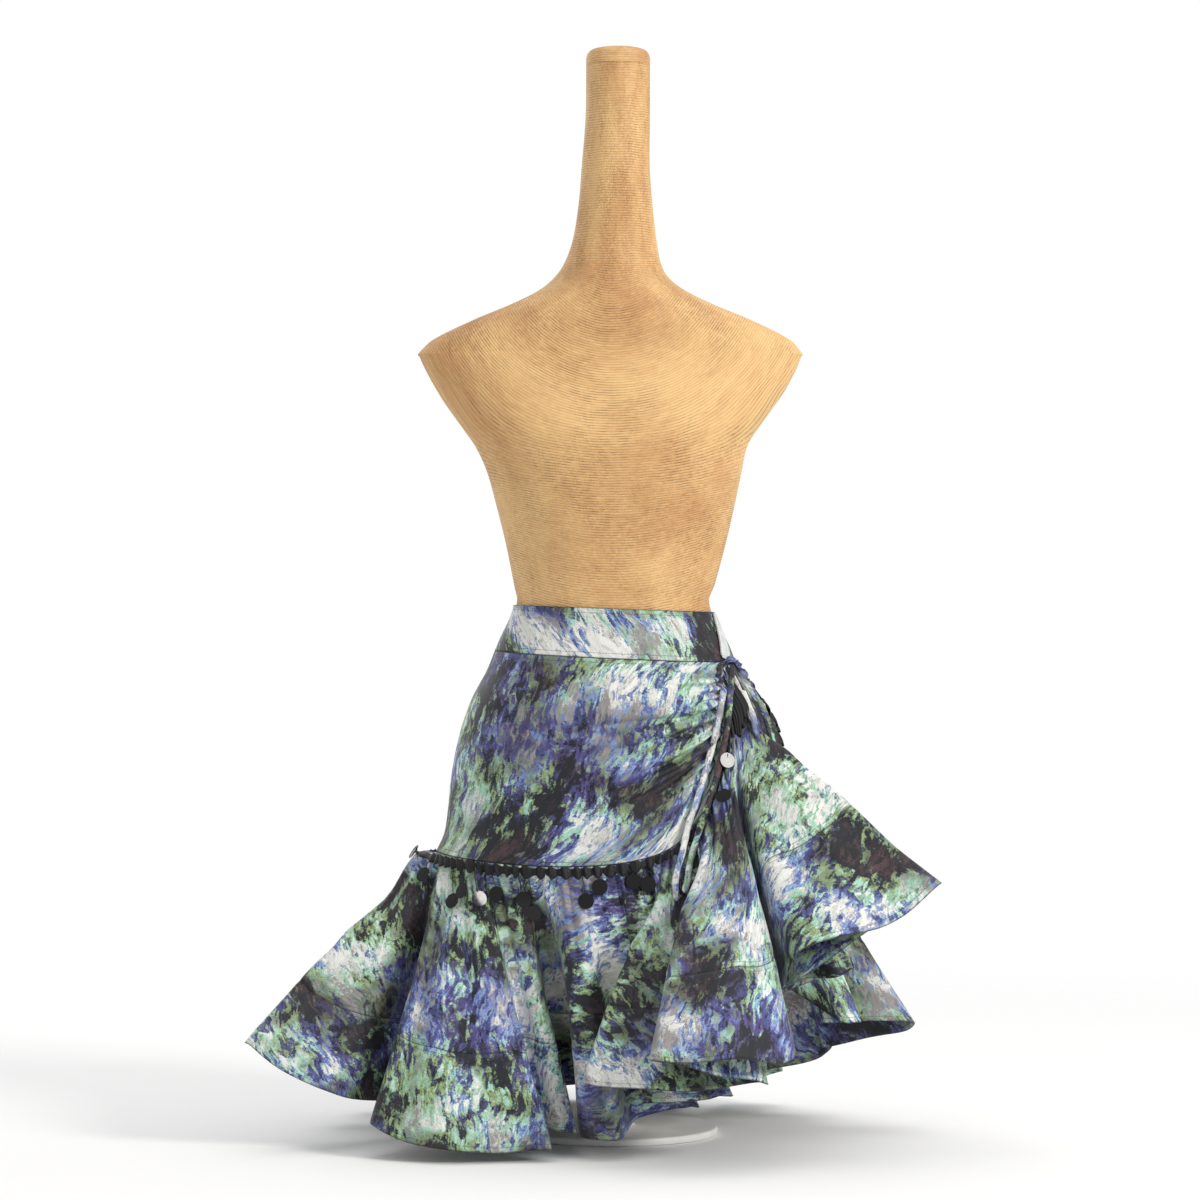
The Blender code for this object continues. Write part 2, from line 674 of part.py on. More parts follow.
def rounded_turns(rows):
    """The rows with each sharp turn of the hem opened into two places."""
    turn = np.array([360, 0, 0, 0, 0])
    ring = np.vstack([rows[-1] - turn, rows, rows[0] + turn])
    opened = []
    for before, row, after in zip(ring, ring[1:], ring[2:]):
        back = before[1:3] - row[1:3]
        on = after[1:3] - row[1:3]
        back = back / np.linalg.norm(back)
        on = on / np.linalg.norm(on)
        sharp = max(back @ on, 0.0)
        apart = on - back
        apart = apart / np.linalg.norm(apart) * FOLD_ROUNDING * sharp
        shift = np.array([FOLD_ROUNDING_SEAM * sharp, *apart, 0, 0])
        if sharp > 0:
            opened.append(row - shift)
            opened.append(row + shift)
        else:
            opened.append(row)
    return np.array(opened)


def with_calm_places(curve):
    """The curve with the hem places that its start at the seam leans to.

    They are the hem places averaged round the seam, so that each fold opens
    a little way below the seam.
    """
    turn = np.arange(0, 360, CALM_STEP) + curve[0, 0]
    places = np.stack([np.interp(turn, curve[:, 0], curve[:, k])
                       for k in (1, 2, 3)], axis=1)
    away = np.minimum(turn - turn[0], 360 - (turn - turn[0]))
    window = np.exp(-(away / CALM_WIDTH) ** 2)
    mixed = np.fft.ifft(np.fft.fft(places, axis=0)
                        * np.fft.fft(window / window.sum())[:, None], axis=0)
    calm = np.stack([np.interp(curve[:, 0], turn, mixed[:, k].real,
                               period=360) for k in range(3)], axis=1)
    return np.hstack([curve, calm])


def flounce_curve():
    """Seam angles, hem places and flares of all columns, round the body.

    The second value is the column of the left side seam, where the front
    cut ends and the back cut begins. Column 0 is the right side seam.
    """
    rows, front_end = hem_rows()
    split_angle = rows[front_end, 0]
    rows = rounded_turns(rows)
    turn = np.array([360, 0, 0, 0, 0])
    scale = np.array([0.001, 1, 1, 1, 0.01])
    closed = np.vstack([rows[-2:] - turn, rows, rows[:1] + turn])
    curve = with_calm_places(smooth_rows(closed * scale, 12) / scale)
    first = np.searchsorted(curve[:, 0], split_angle)
    front = resampled(curve[:first + 1], len(FRONT_FOLDS))
    back = resampled(curve[first:], len(BACK_FOLDS))
    return np.vstack([front[:-1], back[:-1]]), len(front) - 1


def resampled(curve, folds):
    """The curve at its share of the columns, closer where the hem turns."""
    step = np.diff(curve[:, 1:3], axis=0)
    size = np.linalg.norm(step, axis=1)
    heading = np.unwrap(np.arctan2(step[:, 1], step[:, 0]))
    turning = np.abs(np.diff(heading, prepend=heading[0]))
    seam = on_hips(curve[:, 0], seam_height(curve[:, 0]))
    seam_step = np.linalg.norm(np.diff(seam, axis=0), axis=1)
    weight = size + TURN_WEIGHT * turning + seam_step
    place = np.concatenate([[0], np.cumsum(weight)])
    share = folds / (len(FRONT_FOLDS) + len(BACK_FOLDS))
    count = round(FLOUNCE_COLUMNS * share)
    even = np.linspace(0, place[-1], count + 1)
    return np.stack([np.interp(even, place, column)
                     for column in curve.T], axis=1)


def flounce_middle(curve, shares):
    """Middle surface of the flounce at shares of its length.

    Each thread line runs from the seam to the hem. It falls evenly, and
    its way outwards is a power of the share, the fold's flare. Where the
    seam is steep it first leaves the seam squarely.
    """
    angle = curve[:, 0]
    start = on_hips(angle, seam_height(angle) - seam_gap_at(angle))
    share = np.asarray(shares)[:, None]
    folded = np.clip(share / FOLD_OPENING, 0, 1)[..., None]
    target = curve[None, :, 1:4] * folded + curve[None, :, 5:8] * (1 - folded)
    outwards = share ** curve[None, :, 4]
    flare = np.stack([outwards, outwards, np.broadcast_to(
        share, outwards.shape)], axis=-1)
    along = np.roll(start, -1, axis=0) - np.roll(start, 1, axis=0)
    away = np.cross(along, on_hips(angle, seam_height(angle), 1.0) - start)
    away = away / np.linalg.norm(away, axis=-1, keepdims=True)
    away = -away * np.sign(away[:, 2:]) * (1, 1, 0)
    leaving = LEAVING * share * (1 - share) ** LEAVING_FADE
    return (start[None] + (target - start[None]) * flare
            + leaving[..., None] * away)


def clear_of_hips(points):
    """The points with those inside the hips moved out onto them."""
    half_width, half_depth = hip_size(points[..., 2])
    from_centre = points - (0, HIP_CENTRE_Y, 0)
    reach = np.hypot(from_centre[..., 0] / (half_width + HIP_CLEARANCE),
                     from_centre[..., 1] / (half_depth + HIP_CLEARANCE))
    beside = points[..., 2] > FORM_BOTTOM - FORM_BOTTOM_ROUND
    push = np.where(beside, np.maximum(1 / reach, 1), 1)
    return from_centre * np.stack([push, push, np.ones_like(push)],
                                  axis=-1) + (0, HIP_CENTRE_Y, 0)


def flounce_cuts():
    """Middle points and half walls of the flounce's front and back cuts."""
    curve, split = flounce_curve()
    band = np.linspace(BAND_SHARE, 1, HEM_BAND_ROWS + 1)
    shares = np.concatenate([FLOUNCE_ROWS, band])
    middle = flounce_middle(curve, shares)
    for row, passes in enumerate(SOFTENING):
        for _ in range(passes):
            middle[row] = (np.roll(middle[row], 1, axis=0) + 2 * middle[row]
                           + np.roll(middle[row], -1, axis=0)) / 4
    middle[1:] = clear_of_hips(middle[1:])
    normal = surface_normals(middle, ring=True)
    angle = curve[:, 0]
    radial = on_hips(angle, seam_height(angle), 1.0)
    radial = radial - on_hips(angle, seam_height(angle))
    normal[0] = radial / np.linalg.norm(radial, axis=-1, keepdims=True)
    half = SEAM_HALF_WALL + (HALF_WALL - SEAM_HALF_WALL) * shares
    wall = normal * half[:, None, None]
    cuts = {}
    cuts["front"] = [grid[:, :split + 1] for grid in (middle, wall)]
    cuts["back"] = [np.hstack([grid[:, split:], grid[:, :1]])
                    for grid in (middle, wall)]
    return cuts


def pulled_ends(grid):
    """The grid with its first and last columns drawn in by half a gap."""
    grid = grid.copy()
    for end, neighbour in ((0, 1), (-1, -2)):
        step = grid[:, neighbour] - grid[:, end]
        size = np.linalg.norm(step, axis=-1, keepdims=True)
        grid[:, end] += step / size * SEAM_GAP / 2
    return grid


def make_flounce(side_name, middle, half_wall, material):
    """One cut of the flounce, and the band sewn to its lower edge."""
    middle = pulled_ends(middle)
    seam = len(FLOUNCE_ROWS)
    upper = middle[:seam + 1].copy()
    lower = middle[seam:].copy()
    run = middle[seam + 1] - middle[seam]
    run = run / np.linalg.norm(run, axis=-1, keepdims=True)
    upper[-1] -= run * SEAM_GAP / 2
    lower[0] += run * SEAM_GAP / 2
    for name, grid, out in (("flounce_", upper, half_wall[:seam + 1]),
                            ("hem_band_", lower, half_wall[seam:])):
        wall_between(name + side_name, grid + out, grid - out, material)


def make_trim(side_name, middle, half_wall, material):
    """Ruched ribbon on the flounce just under the seam.

    It is made from the flounce's first two rows of points, moved out.
    """
    surface = middle + half_wall
    normal = half_wall / np.linalg.norm(half_wall, axis=-1, keepdims=True)
    top, low = surface[0], surface[1]
    along = np.linalg.norm(np.diff(top, axis=0), axis=-1)
    along = np.concatenate([[0], np.cumsum(along)])
    count = 2 * round(TRIM_RUFFLES * along[-1] / SEAM_LENGTH) + 1
    place = np.linspace(TRIM_END, along[-1] - TRIM_END, count)

    def at(points):
        return np.stack([np.interp(place, along, points[:, k])
                         for k in range(3)], axis=-1)

    top, low = at(top), at(low)
    out = at(normal[0]) + at(normal[1])
    out = np.stack([out, out]) / np.linalg.norm(out, axis=-1, keepdims=True)
    inner = np.stack([top + (low - top) * edge for edge in TRIM_EDGES])
    inner = inner + out * TRIM_SEAT
    ruffle = np.outer(TRIM_RUFFLE_DEPTHS, np.arange(count) % 2)
    outer = inner + out * (TRIM_THICKNESS + ruffle[..., None])
    return wall_between("trim_" + side_name, outer, inner, material)


def even_route(route):
    """A route as a smooth curve with evenly spaced points."""
    fine = open_rows(route, 12)
    along = np.linalg.norm(np.diff(fine, axis=0), axis=1)
    along = np.concatenate([[0], np.cumsum(along)])
    count = round(along[-1] / TIE_STEP) + 1
    place = np.linspace(0, along[-1], count)
    return np.stack([np.interp(place, along, column)
                     for column in fine.T], axis=1)


def make_tie(name, route, material):
    """Drawstring end as a round cord that lies on the cloth."""
    points = even_route(route)
    data = bpy.data.curves.new(name, "CURVE")
    data.dimensions = "3D"
    data.bevel_depth = TIE_RADIUS
    data.bevel_resolution = 2
    data.use_fill_caps = True
    spline = data.splines.new("POLY")
    spline.points.add(len(points) - 1)
    for place, point in zip(spline.points, points):
        place.co = (*point, 1)
    data.materials.append(material)
    item = bpy.data.objects.new(name, data)
    bpy.context.scene.collection.objects.link(item)


def main():
    """Build every piece."""
    remove_everything()
    form = make_material("form_cord", (0.62, 0.42, 0.20), 0.7)
    paint = make_material("stand_paint", (0.88, 0.88, 0.87), 0.4)
    print_cloth = make_material("print_cloth", (0.30, 0.33, 0.42), 0.6)
    tape = make_material("zip_tape", (0.85, 0.87, 0.88), 0.6)
    ribbon = make_material("black_ribbon", (0.02, 0.02, 0.02), 0.4)

    make_form(form)
    make_neck_cap(form)
    make_stand(paint)
    make_waistband(print_cloth)
    make_side_zip(tape)
    make_hip_panel("hip_panel_front", -1, FRONT_DRAPES, print_cloth)
    make_hip_panel("hip_panel_back", 1, BACK_DRAPES, print_cloth)
    make_casing("casing_front", -1, FRONT_DRAPES, print_cloth)
    make_casing("casing_back", 1, BACK_DRAPES, print_cloth)
    for side_name, (middle, half_wall) in flounce_cuts().items():
        make_flounce(side_name, middle, half_wall, print_cloth)
        make_trim(side_name, middle, half_wall, ribbon)
    for name, route in TIE_ROUTES.items():
        make_tie(name, route, print_cloth)


main()
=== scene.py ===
"""Looks of a latin dance skirt worn on a long-necked dress form.

Metres, +Z up. The front faces -Y and the wearer's left is +X. A place on the
hips is an angle round the body (0 the wearer's left side, -90 the front) and a
height. Cloth pieces are grids of points: rows run down, columns run round.
"""

from collections import namedtuple

import bmesh
import bpy
import numpy as np
from bpy.props import FloatProperty, FloatVectorProperty, IntProperty
from bpy.props import PointerProperty
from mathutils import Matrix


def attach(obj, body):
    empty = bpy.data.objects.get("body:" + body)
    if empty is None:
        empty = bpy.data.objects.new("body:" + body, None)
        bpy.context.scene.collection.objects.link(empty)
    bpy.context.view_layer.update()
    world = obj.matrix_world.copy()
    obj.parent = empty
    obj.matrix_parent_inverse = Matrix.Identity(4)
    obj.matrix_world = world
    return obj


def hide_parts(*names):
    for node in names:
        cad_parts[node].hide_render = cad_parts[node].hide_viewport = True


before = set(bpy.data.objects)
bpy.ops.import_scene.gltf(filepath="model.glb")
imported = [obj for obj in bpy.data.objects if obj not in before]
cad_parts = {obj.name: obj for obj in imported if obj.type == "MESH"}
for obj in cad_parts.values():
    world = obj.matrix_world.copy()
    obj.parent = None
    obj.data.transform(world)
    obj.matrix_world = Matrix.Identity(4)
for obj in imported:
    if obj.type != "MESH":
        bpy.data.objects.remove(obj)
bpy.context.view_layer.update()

bl_info = {
    "name": "Latin dance skirt",
    "version": (1, 0, 0),
    "blender": (4, 5, 0),
    "location": "View3D > Sidebar > Skirt",
    "description": "Printed dance skirt with a flounce, worn on a dress form",
    "category": "Object",
}

TAU = 2 * np.pi
# Gap between neighbouring pieces
GAP = 0.0003

# Photograph's frame: metres across it, and where the camera stands
VIEW_WIDTH = 1.32
CAMERA_PLACE = (-0.0143, -4.5, 0.586)
SENSOR = 36.0

# Stage: a pale floor that fades into the white surroundings, and round lamps
# that all point at one place
FLOOR_RADIUS = 2.4
FLOOR_CLEAR_RADIUS = 0.7
FLOOR_LEVEL = -0.0005
SURROUNDINGS_STRENGTH = 0.70
Lamp = namedtuple("Lamp", "name place size power colour")
LAMPS = (
    Lamp("key", (3.0, -2.6, 2.2), 1.3, 108.0, (1.0, 0.98, 0.94)),
    Lamp("top", (0.2, 0.4, 3.6), 3.0, 26.0, (1.0, 1.0, 1.0)),
    Lamp("rim", (-2.2, 2.6, 1.9), 2.0, 24.0, (1.0, 1.0, 1.0)),
)
LAMPS_AIM = (0.0, 0.0, 0.55)

# Sections of the form above the waist, each a squarish ellipse. Below it the
# form lies within the skirt's wall by its slack, down to a rounded bottom.
FormSection = namedtuple(
    "FormSection", "height half_width half_depth centre_x power")
FORM_SECTIONS = (
    FormSection(1.1742, 0.0351, 0.0351, 0.0056, 2.0),
    FormSection(1.1184, 0.0354, 0.0354, 0.0053, 2.0),
    FormSection(1.0640, 0.0374, 0.0372, 0.0030, 2.0),
    FormSection(1.0200, 0.0408, 0.0400, 0.0027, 2.0),
    FormSection(0.9800, 0.0465, 0.0448, 0.0016, 2.0),
    FormSection(0.9550, 0.0537, 0.0500, -0.0006, 2.0),
    FormSection(0.9413, 0.0622, 0.0545, -0.0017, 2.0),
    FormSection(0.9281, 0.0776, 0.0590, -0.0014, 2.0),
    FormSection(0.9116, 0.1100, 0.0640, -0.0011, 2.0),
    FormSection(0.8940, 0.1524, 0.0670, -0.0010, 2.0),
    FormSection(0.8709, 0.1979, 0.0670, -0.0019, 2.0),
    FormSection(0.8605, 0.2083, 0.0675, -0.0027, 2.0),
    FormSection(0.8520, 0.2092, 0.0700, -0.0028, 2.1),
    FormSection(0.8181, 0.1925, 0.0850, -0.0022, 2.3),
    FormSection(0.7950, 0.1771, 0.0930, -0.0028, 2.4),
    FormSection(0.7730, 0.1612, 0.0985, -0.0028, 2.4),
    FormSection(0.7530, 0.1487, 0.1005, -0.0017, 2.3),
    FormSection(0.7268, 0.1400, 0.1000, 0.0014, 2.2),
    FormSection(0.6894, 0.1309, 0.0960, 0.0027, 2.1),
    FormSection(0.6388, 0.1188, 0.0900, 0.0029, 2.0),
    FormSection(0.6020, 0.1102, 0.0868, 0.0015, 2.0),
)
FORM_BOTTOM = 0.345
FORM_BOTTOM_ROUND = 0.022
FORM_SLACK = 0.0022
FORM_SIDES = 128
# Winding of the form: the heights that its rings circle over the chest and
# the waist, and the radius at which its way round is measured
CHEST_RINGS = 0.964
WAIST_RINGS = 0.84
WINDING_RADIUS = 0.13
CAP_RADIUS = 0.035
CAP_SIDES = 64

# Sections of the skirt's wall over the hips, and of the form inside it
HipSection = namedtuple("HipSection", "height half_width half_depth")
HIP_SECTIONS = (
    HipSection(0.5880, 0.1076, 0.0850),
    HipSection(0.5770, 0.1092, 0.0862),
    HipSection(0.5330, 0.1284, 0.0985),
    HipSection(0.5090, 0.1380, 0.1060),
    HipSection(0.4750, 0.1560, 0.1200),
    HipSection(0.4375, 0.1685, 0.1300),
    HipSection(0.3950, 0.1770, 0.1380),
    HipSection(0.3550, 0.1812, 0.1430),
    HipSection(0.3300, 0.1850, 0.1470),
    HipSection(0.3110, 0.1935, 0.1535),
    HipSection(0.2950, 0.2030, 0.1600),
)
HIP_CENTRE_Y = 0.003
# Radius at which ways round the hips are measured, and how far the flounce
# keeps outside their wall
HIP_RADIUS = 0.16
HIP_CLEARANCE = 0.0018
# Seam angles in degrees, half the gap at the right seam, and how far round
# from the left seam the slit's edge, its foot and the panel's corner lie
LEFT_SIDE_SEAM = -22.0
RIGHT_SIDE_SEAM = -180.0
RIGHT_SEAM_HALF_GAP = 0.05
SLIT_HALF_WIDTH = 3.5
SLIT_FOOT = 9.0
PANEL_CORNER = 43.0

# Waistband's edges, with their tilt to the left and rise to the back, and the
# zip's ends as an angle and a height
BAND_TOP = 0.5767
BAND_TOP_TILT = 0.0039
BAND_BOTTOM = 0.5240
BAND_BOTTOM_TILT = 0.0060
BAND_BOTTOM_RISE = 0.0015
ZIP_TOP = (-8.6, 0.5715)
ZIP_LOW = (-23.6, 0.5215)
ZIP_HALF_WIDTH = 6.2
ZIP_WALL = 0.0007
# Radius at which the way round the waistband is measured
WAIST_RADIUS = 0.12

# Flounce seam: its level, its rise at both sides and its hump at the left
SEAM_LEVEL = 0.304
SEAM_SIDE_RISE = 0.006
SEAM_CLIMB = 0.208
SEAM_CLIMB_WIDTH = 28.0
SEAM_CLIMB_POWER = 3.75

# Profiles that are turned about an upright line
Turned = namedtuple("Turned", "radius height")
CAP_PROFILE = (
    Turned(0.0350, 0.0000),
    Turned(0.0352, 0.0060),
    Turned(0.0341, 0.0110),
    Turned(0.0305, 0.0155),
    Turned(0.0210, 0.0185),
    Turned(0.0080, 0.0198),
)
BASE_PROFILE = (
    Turned(0.0010, 0.0000),
    Turned(0.1140, 0.0000),
    Turned(0.1150, 0.0010),
    Turned(0.1150, 0.0055),
    Turned(0.1143, 0.0072),
    Turned(0.1125, 0.0080),
    Turned(0.0280, 0.0090),
    Turned(0.0235, 0.0102),
    Turned(0.0220, 0.0130),
    Turned(0.0220, 0.0280),
    Turned(0.0215, 0.0295),
    Turned(0.0200, 0.0300),
    Turned(0.0010, 0.0300),
)
POLE_PROFILE = (
    Turned(0.0010, 0.3447),
    Turned(0.0120, 0.3447),
    Turned(0.0125, 0.3440),
    Turned(0.0125, 0.0310),
    Turned(0.0120, 0.0303),
    Turned(0.0010, 0.0303),
)

# Troughs between the drapes: the height where each starts at the slit's edge,
# how steeply it falls and bends up again, how far it reaches, its depth and
# its half width
Trough = namedtuple("Trough", "start slope bend reach depth width")
FRONT_TROUGHS = (
    Trough(0.5030, 0.02, 0.10, 0.050, 0.0030, 0.0020),
    Trough(0.4945, 0.03, 0.05, 0.095, 0.0050, 0.0022),
    Trough(0.4875, 0.08, 0.10, 0.070, 0.0048, 0.0020),
    Trough(0.4800, 0.16, 0.20, 0.045, 0.0034, 0.0016),
    Trough(0.4720, 0.26, 0.60, 0.135, 0.0056, 0.0024),
    Trough(0.4650, 0.52, 1.40, 0.120, 0.0058, 0.0025),
    Trough(0.4585, 0.66, 1.30, 0.060, 0.0036, 0.0016),
    Trough(0.4525, 0.78, 1.60, 0.125, 0.0058, 0.0025),
    Trough(0.4440, 0.90, 1.60, 0.075, 0.0044, 0.0019),
    Trough(0.4360, 0.98, 1.70, 0.110, 0.0054, 0.0026),
    Trough(0.4240, 1.02, 1.60, 0.060, 0.0036, 0.0022),
    Trough(0.4080, 0.95, 1.20, 0.040, 0.0024, 0.0024),
)
BACK_TROUGHS = (
    Trough(0.4960, 0.05, 0.20, 0.075, 0.0042, 0.0022),
    Trough(0.4860, 0.14, 0.40, 0.055, 0.0034, 0.0018),
    Trough(0.4750, 0.34, 0.90, 0.120, 0.0054, 0.0024),
    Trough(0.4640, 0.56, 1.40, 0.090, 0.0048, 0.0022),
    Trough(0.4540, 0.72, 1.50, 0.130, 0.0056, 0.0026),
    Trough(0.4430, 0.88, 1.60, 0.080, 0.0044, 0.0020),
    Trough(0.4300, 0.98, 1.60, 0.105, 0.0048, 0.0026),
    Trough(0.4130, 0.90, 1.30, 0.050, 0.0028, 0.0024),
)
# Swelling of a panel beside its drawn-up edge: its height and reach, and the
# share and reach of the dip at the edge itself
Swelling = namedtuple("Swelling", "height reach dip dip_reach")
FRONT_SWELLING = Swelling(0.0120, 0.105, 0.64, 0.015)
BACK_SWELLING = Swelling(0.0085, 0.095, 0.90, 0.024)

# Hip panels: the solid, the side of the slit (-1 is the front), the rows of
# the grid and where it was cut from the print. Rows lie closer together where
# the cloth is gathered, by shares of the grid and of the edge.
Panel = namedtuple("Panel", "solid side rows cut")
PANELS = (Panel("hip_panel_front", -1, 230, (0.0, 0.0)),
          Panel("hip_panel_back", 1, 170, (0.9, 0.4)))
PANEL_ROWS = ((0, 0.06, 0.70, 1), (0, 0.06, 0.52, 1))
PANEL_COLUMNS = 180

# Casings: the solid, its side, where its columns start across the panel, how
# far it rises over the band's edge, its puff, how far down it closes the slit,
# how much further out its edge stands there, and its place in the print
Casing = namedtuple("Casing", "solid side first rise puff closing proud cut")
CASINGS = (
    Casing("casing_front", -1, 0.976, 0.003, 0.0012, 0.013, 0.0,
           (1.46, 2.09)),
    Casing("casing_back", 1, 0.958, 0.010, 0.0036, 0.034, 0.0026,
           (0.62, 1.02)),
)
CASING_REACH = 0.0018
CASING_CLOSING_REACH = 0.0110
CASING_WALL = 0.0008
CASING_STRETCH = (1.0, 1.15)

# Places in the print where the waistband and the back flounce were cut, and
# the flat ring of the flounce's cut: its inner radius and its depth
WAISTBAND_CUT = (0.23, 1.776)
BACK_FLOUNCE_CUT = 1.7
CUT_RADIUS = 0.13
CUT_RUN = 0.33

# Folds of the flounce, going round from the wearer's right: the seam angles
# that feed a fold's face, the hem places where the face begins and ends, how
# far its middle stands out and hangs down, its flare, the valley after it and
# half the valley's width.
Fold = namedtuple(
    "Fold", "seam_from seam_to left right belly dip flare valley floor")
FRONT_FOLDS = (
    Fold(-182, -170, (-0.388, -0.160, 0.115), (-0.290, -0.150, 0.058),
         0.008, 0.003, 0.76, (-0.215, -0.062, 0.042), 0.000),
    Fold(-159, -138, (-0.252, -0.205, 0.034), (-0.066, -0.232, 0.012),
         0.036, 0.009, 1.00, (-0.078, -0.168, 0.030), 0.000),
    Fold(-127, -123, (-0.054, -0.182, 0.024), (-0.039, -0.172, 0.022),
         0.002, 0.000, 1.05, (-0.042, -0.068, 0.060), 0.016),
    Fold(-107, -102, (-0.031, -0.220, 0.024), (0.009, -0.220, 0.022),
         0.010, 0.001, 1.05, (0.022, -0.162, 0.035), 0.000),
    Fold(-93, -90, (0.060, -0.160, 0.045), (0.091, -0.168, 0.050),
         0.000, 0.000, 1.30, (0.034, -0.198, 0.057), 0.000),
    Fold(-83, -80, (0.078, -0.222, 0.062), (0.122, -0.210, 0.067),
         0.003, 0.000, 1.25, (0.050, -0.245, 0.076), 0.000),
    Fold(-73, -64, (-0.030, -0.270, 0.087), (0.157, -0.246, 0.083),
         0.024, 0.006, 0.90, (0.100, -0.300, 0.100), 0.000),
    Fold(-58, -49, (0.042, -0.328, 0.116), (0.187, -0.258, 0.111),
         0.032, -0.002, 0.78, (0.168, -0.172, 0.165), 0.000),
    Fold(-39, -26, (0.192, -0.235, 0.220), (0.345, -0.180, 0.286),
         0.020, 0.008, 1.35, (0.205, -0.092, 0.178), 0.000),
    Fold(-17, -13, (0.240, -0.102, 0.180), (0.256, -0.088, 0.188),
         0.002, 0.000, 1.15, (0.190, -0.050, 0.162), 0.000),
)
BACK_FOLDS = (
    Fold(-1, 2, (0.252, -0.052, 0.126), (0.268, -0.040, 0.125),
         0.002, 0.000, 1.10, (0.232, -0.006, 0.122), 0.000),
    Fold(8, 12, (0.328, 0.016, 0.120), (0.322, 0.055, 0.106),
         0.008, 0.000, 1.10, (0.240, 0.088, 0.085), 0.000),
    Fold(20, 24, (0.246, 0.140, 0.078), (0.236, 0.172, 0.064),
         0.004, 0.000, 1.05, (0.176, 0.178, 0.048), 0.000),
    Fold(36, 47, (0.196, 0.238, 0.040), (0.140, 0.274, 0.028),
         0.012, 0.003, 1.00, (0.094, 0.185, 0.034), 0.000),
    Fold(63, 77, (0.078, 0.278, 0.024), (0.006, 0.298, 0.018),
         0.014, 0.002, 1.00, (-0.018, 0.190, 0.032), 0.000),
    Fold(91, 103, (-0.040, 0.300, 0.020), (-0.098, 0.290, 0.022),
         0.010, 0.002, 1.00, (-0.084, 0.192, 0.034), 0.000),
    Fold(116, 129, (-0.146, 0.268, 0.024), (-0.212, 0.228, 0.030),
         0.014, 0.003, 1.00, (-0.168, 0.146, 0.038), 0.000),
    Fold(142, 152, (-0.246, 0.198, 0.040), (-0.286, 0.152, 0.050),
         0.010, 0.002, 1.00, (-0.208, 0.086, 0.044), 0.000),
    Fold(162, 170, (-0.300, 0.082, 0.064), (-0.304, 0.030, 0.072),
         0.006, 0.000, 0.90, (-0.230, -0.004, 0.056), 0.000),
)
# Opening of a hairpin, in metres at the hem and in degrees at the seam
FOLD_ROUNDING = 0.008
FOLD_ROUNDING_SEAM = 0.9
# Calm places: steps and half width of the averaging, in degrees of seam
CALM_STEP = 0.5
CALM_WIDTH = 9.0
# Shares of the flounce's length where the folds are fully open and where the
# hem band begins
FOLD_OPENING = 0.40
BAND_SHARE = 0.67
# How far the flounce leaves a steep seam squarely, and how fast that fades
LEAVING = 0.12
LEAVING_FADE = 8
# Columns: their number, and the metres that a radian of turning counts for
COLUMNS_PER_FOLD = 50
TURN_WEIGHT = 0.022
# Softening of the folds down the flounce: the spread of a bell, in columns
SOFT_SHARES = (0.0, 0.045, 0.15, 0.31, 0.49, 0.67)
SOFT_SPREAD = (0.0, 5.0, 5.0, 3.5, 3.5, 0.0)

# Soft creases laid on the flounce: seam angle, half width in degrees, depth,
# the shares of the length where each begins and ends, and the degrees that it
# leans on its way down
Crease = namedtuple("Crease", "angle spread depth top low lean")
CREASES = (
    Crease(-178, 1.4, -0.0040, 0.10, 1.05, 0.0),
    Crease(-172, 1.2, 0.0030, 0.25, 1.10, 1.0),
    Crease(-163, 1.6, 0.0030, 0.02, 0.60, 0.0),
    Crease(-155, 2.0, -0.0050, 0.05, 0.95, -1.5),
    Crease(-151, 1.5, 0.0035, 0.20, 1.10, 1.0),
    Crease(-146, 1.8, -0.0055, 0.03, 0.80, 1.5),
    Crease(-141, 1.4, 0.0040, 0.15, 1.05, 0.5),
    Crease(-130, 1.2, -0.0025, 0.05, 0.70, 0.0),
    Crease(-114, 1.2, 0.0025, 0.05, 0.60, 0.0),
    Crease(-105, 1.0, -0.0030, 0.10, 1.00, 0.0),
    Crease(-88, 0.9, 0.0020, 0.05, 0.60, 0.0),
    Crease(-71, 1.2, -0.0045, 0.12, 0.95, 0.6),
    Crease(-67, 1.1, 0.0040, 0.25, 1.10, -0.4),
    Crease(-56, 1.1, -0.0040, 0.10, 0.90, 0.5),
    Crease(-53, 1.1, 0.0045, 0.30, 1.10, -0.5),
    Crease(-51, 0.9, -0.0030, 0.20, 0.80, 0.0),
    Crease(-36, 1.3, -0.0050, 0.10, 0.90, 0.6),
    Crease(-32, 1.3, 0.0045, 0.25, 1.10, 0.0),
    Crease(-28, 1.1, -0.0035, 0.30, 1.05, -0.6),
    Crease(10, 1.0, -0.0030, 0.15, 1.00, 0.0),
    Crease(22, 1.0, 0.0030, 0.10, 0.90, 0.5),
    Crease(41, 1.6, -0.0045, 0.08, 0.95, -0.8),
    Crease(55, 1.4, 0.0025, 0.02, 0.55, 0.0),
    Crease(68, 1.6, 0.0035, 0.15, 1.10, 0.8),
    Crease(73, 1.4, -0.0045, 0.06, 0.90, -0.5),
    Crease(96, 1.6, -0.0040, 0.10, 1.00, 0.6),
    Crease(110, 1.3, 0.0025, 0.02, 0.60, 0.0),
    Crease(121, 1.7, -0.0050, 0.05, 0.95, 0.5),
    Crease(126, 1.4, 0.0035, 0.25, 1.10, -0.5),
    Crease(147, 1.5, -0.0040, 0.10, 1.00, 0.0),
    Crease(166, 1.2, -0.0035, 0.10, 1.00, 0.5),
)
# Broad swellings of the flounce, which its ribbon follows
SWELLINGS = (
    Crease(-178, 7.0, 0.0100, -0.20, 0.24, 0.0),
    Crease(-176, 9.0, -0.0060, 0.20, 0.95, 0.0),
    Crease(3, 9.0, 0.0100, -0.16, 0.44, 0.0),
    Crease(-27, 5.0, 0.0065, 0.26, 0.84, 0.0),
)

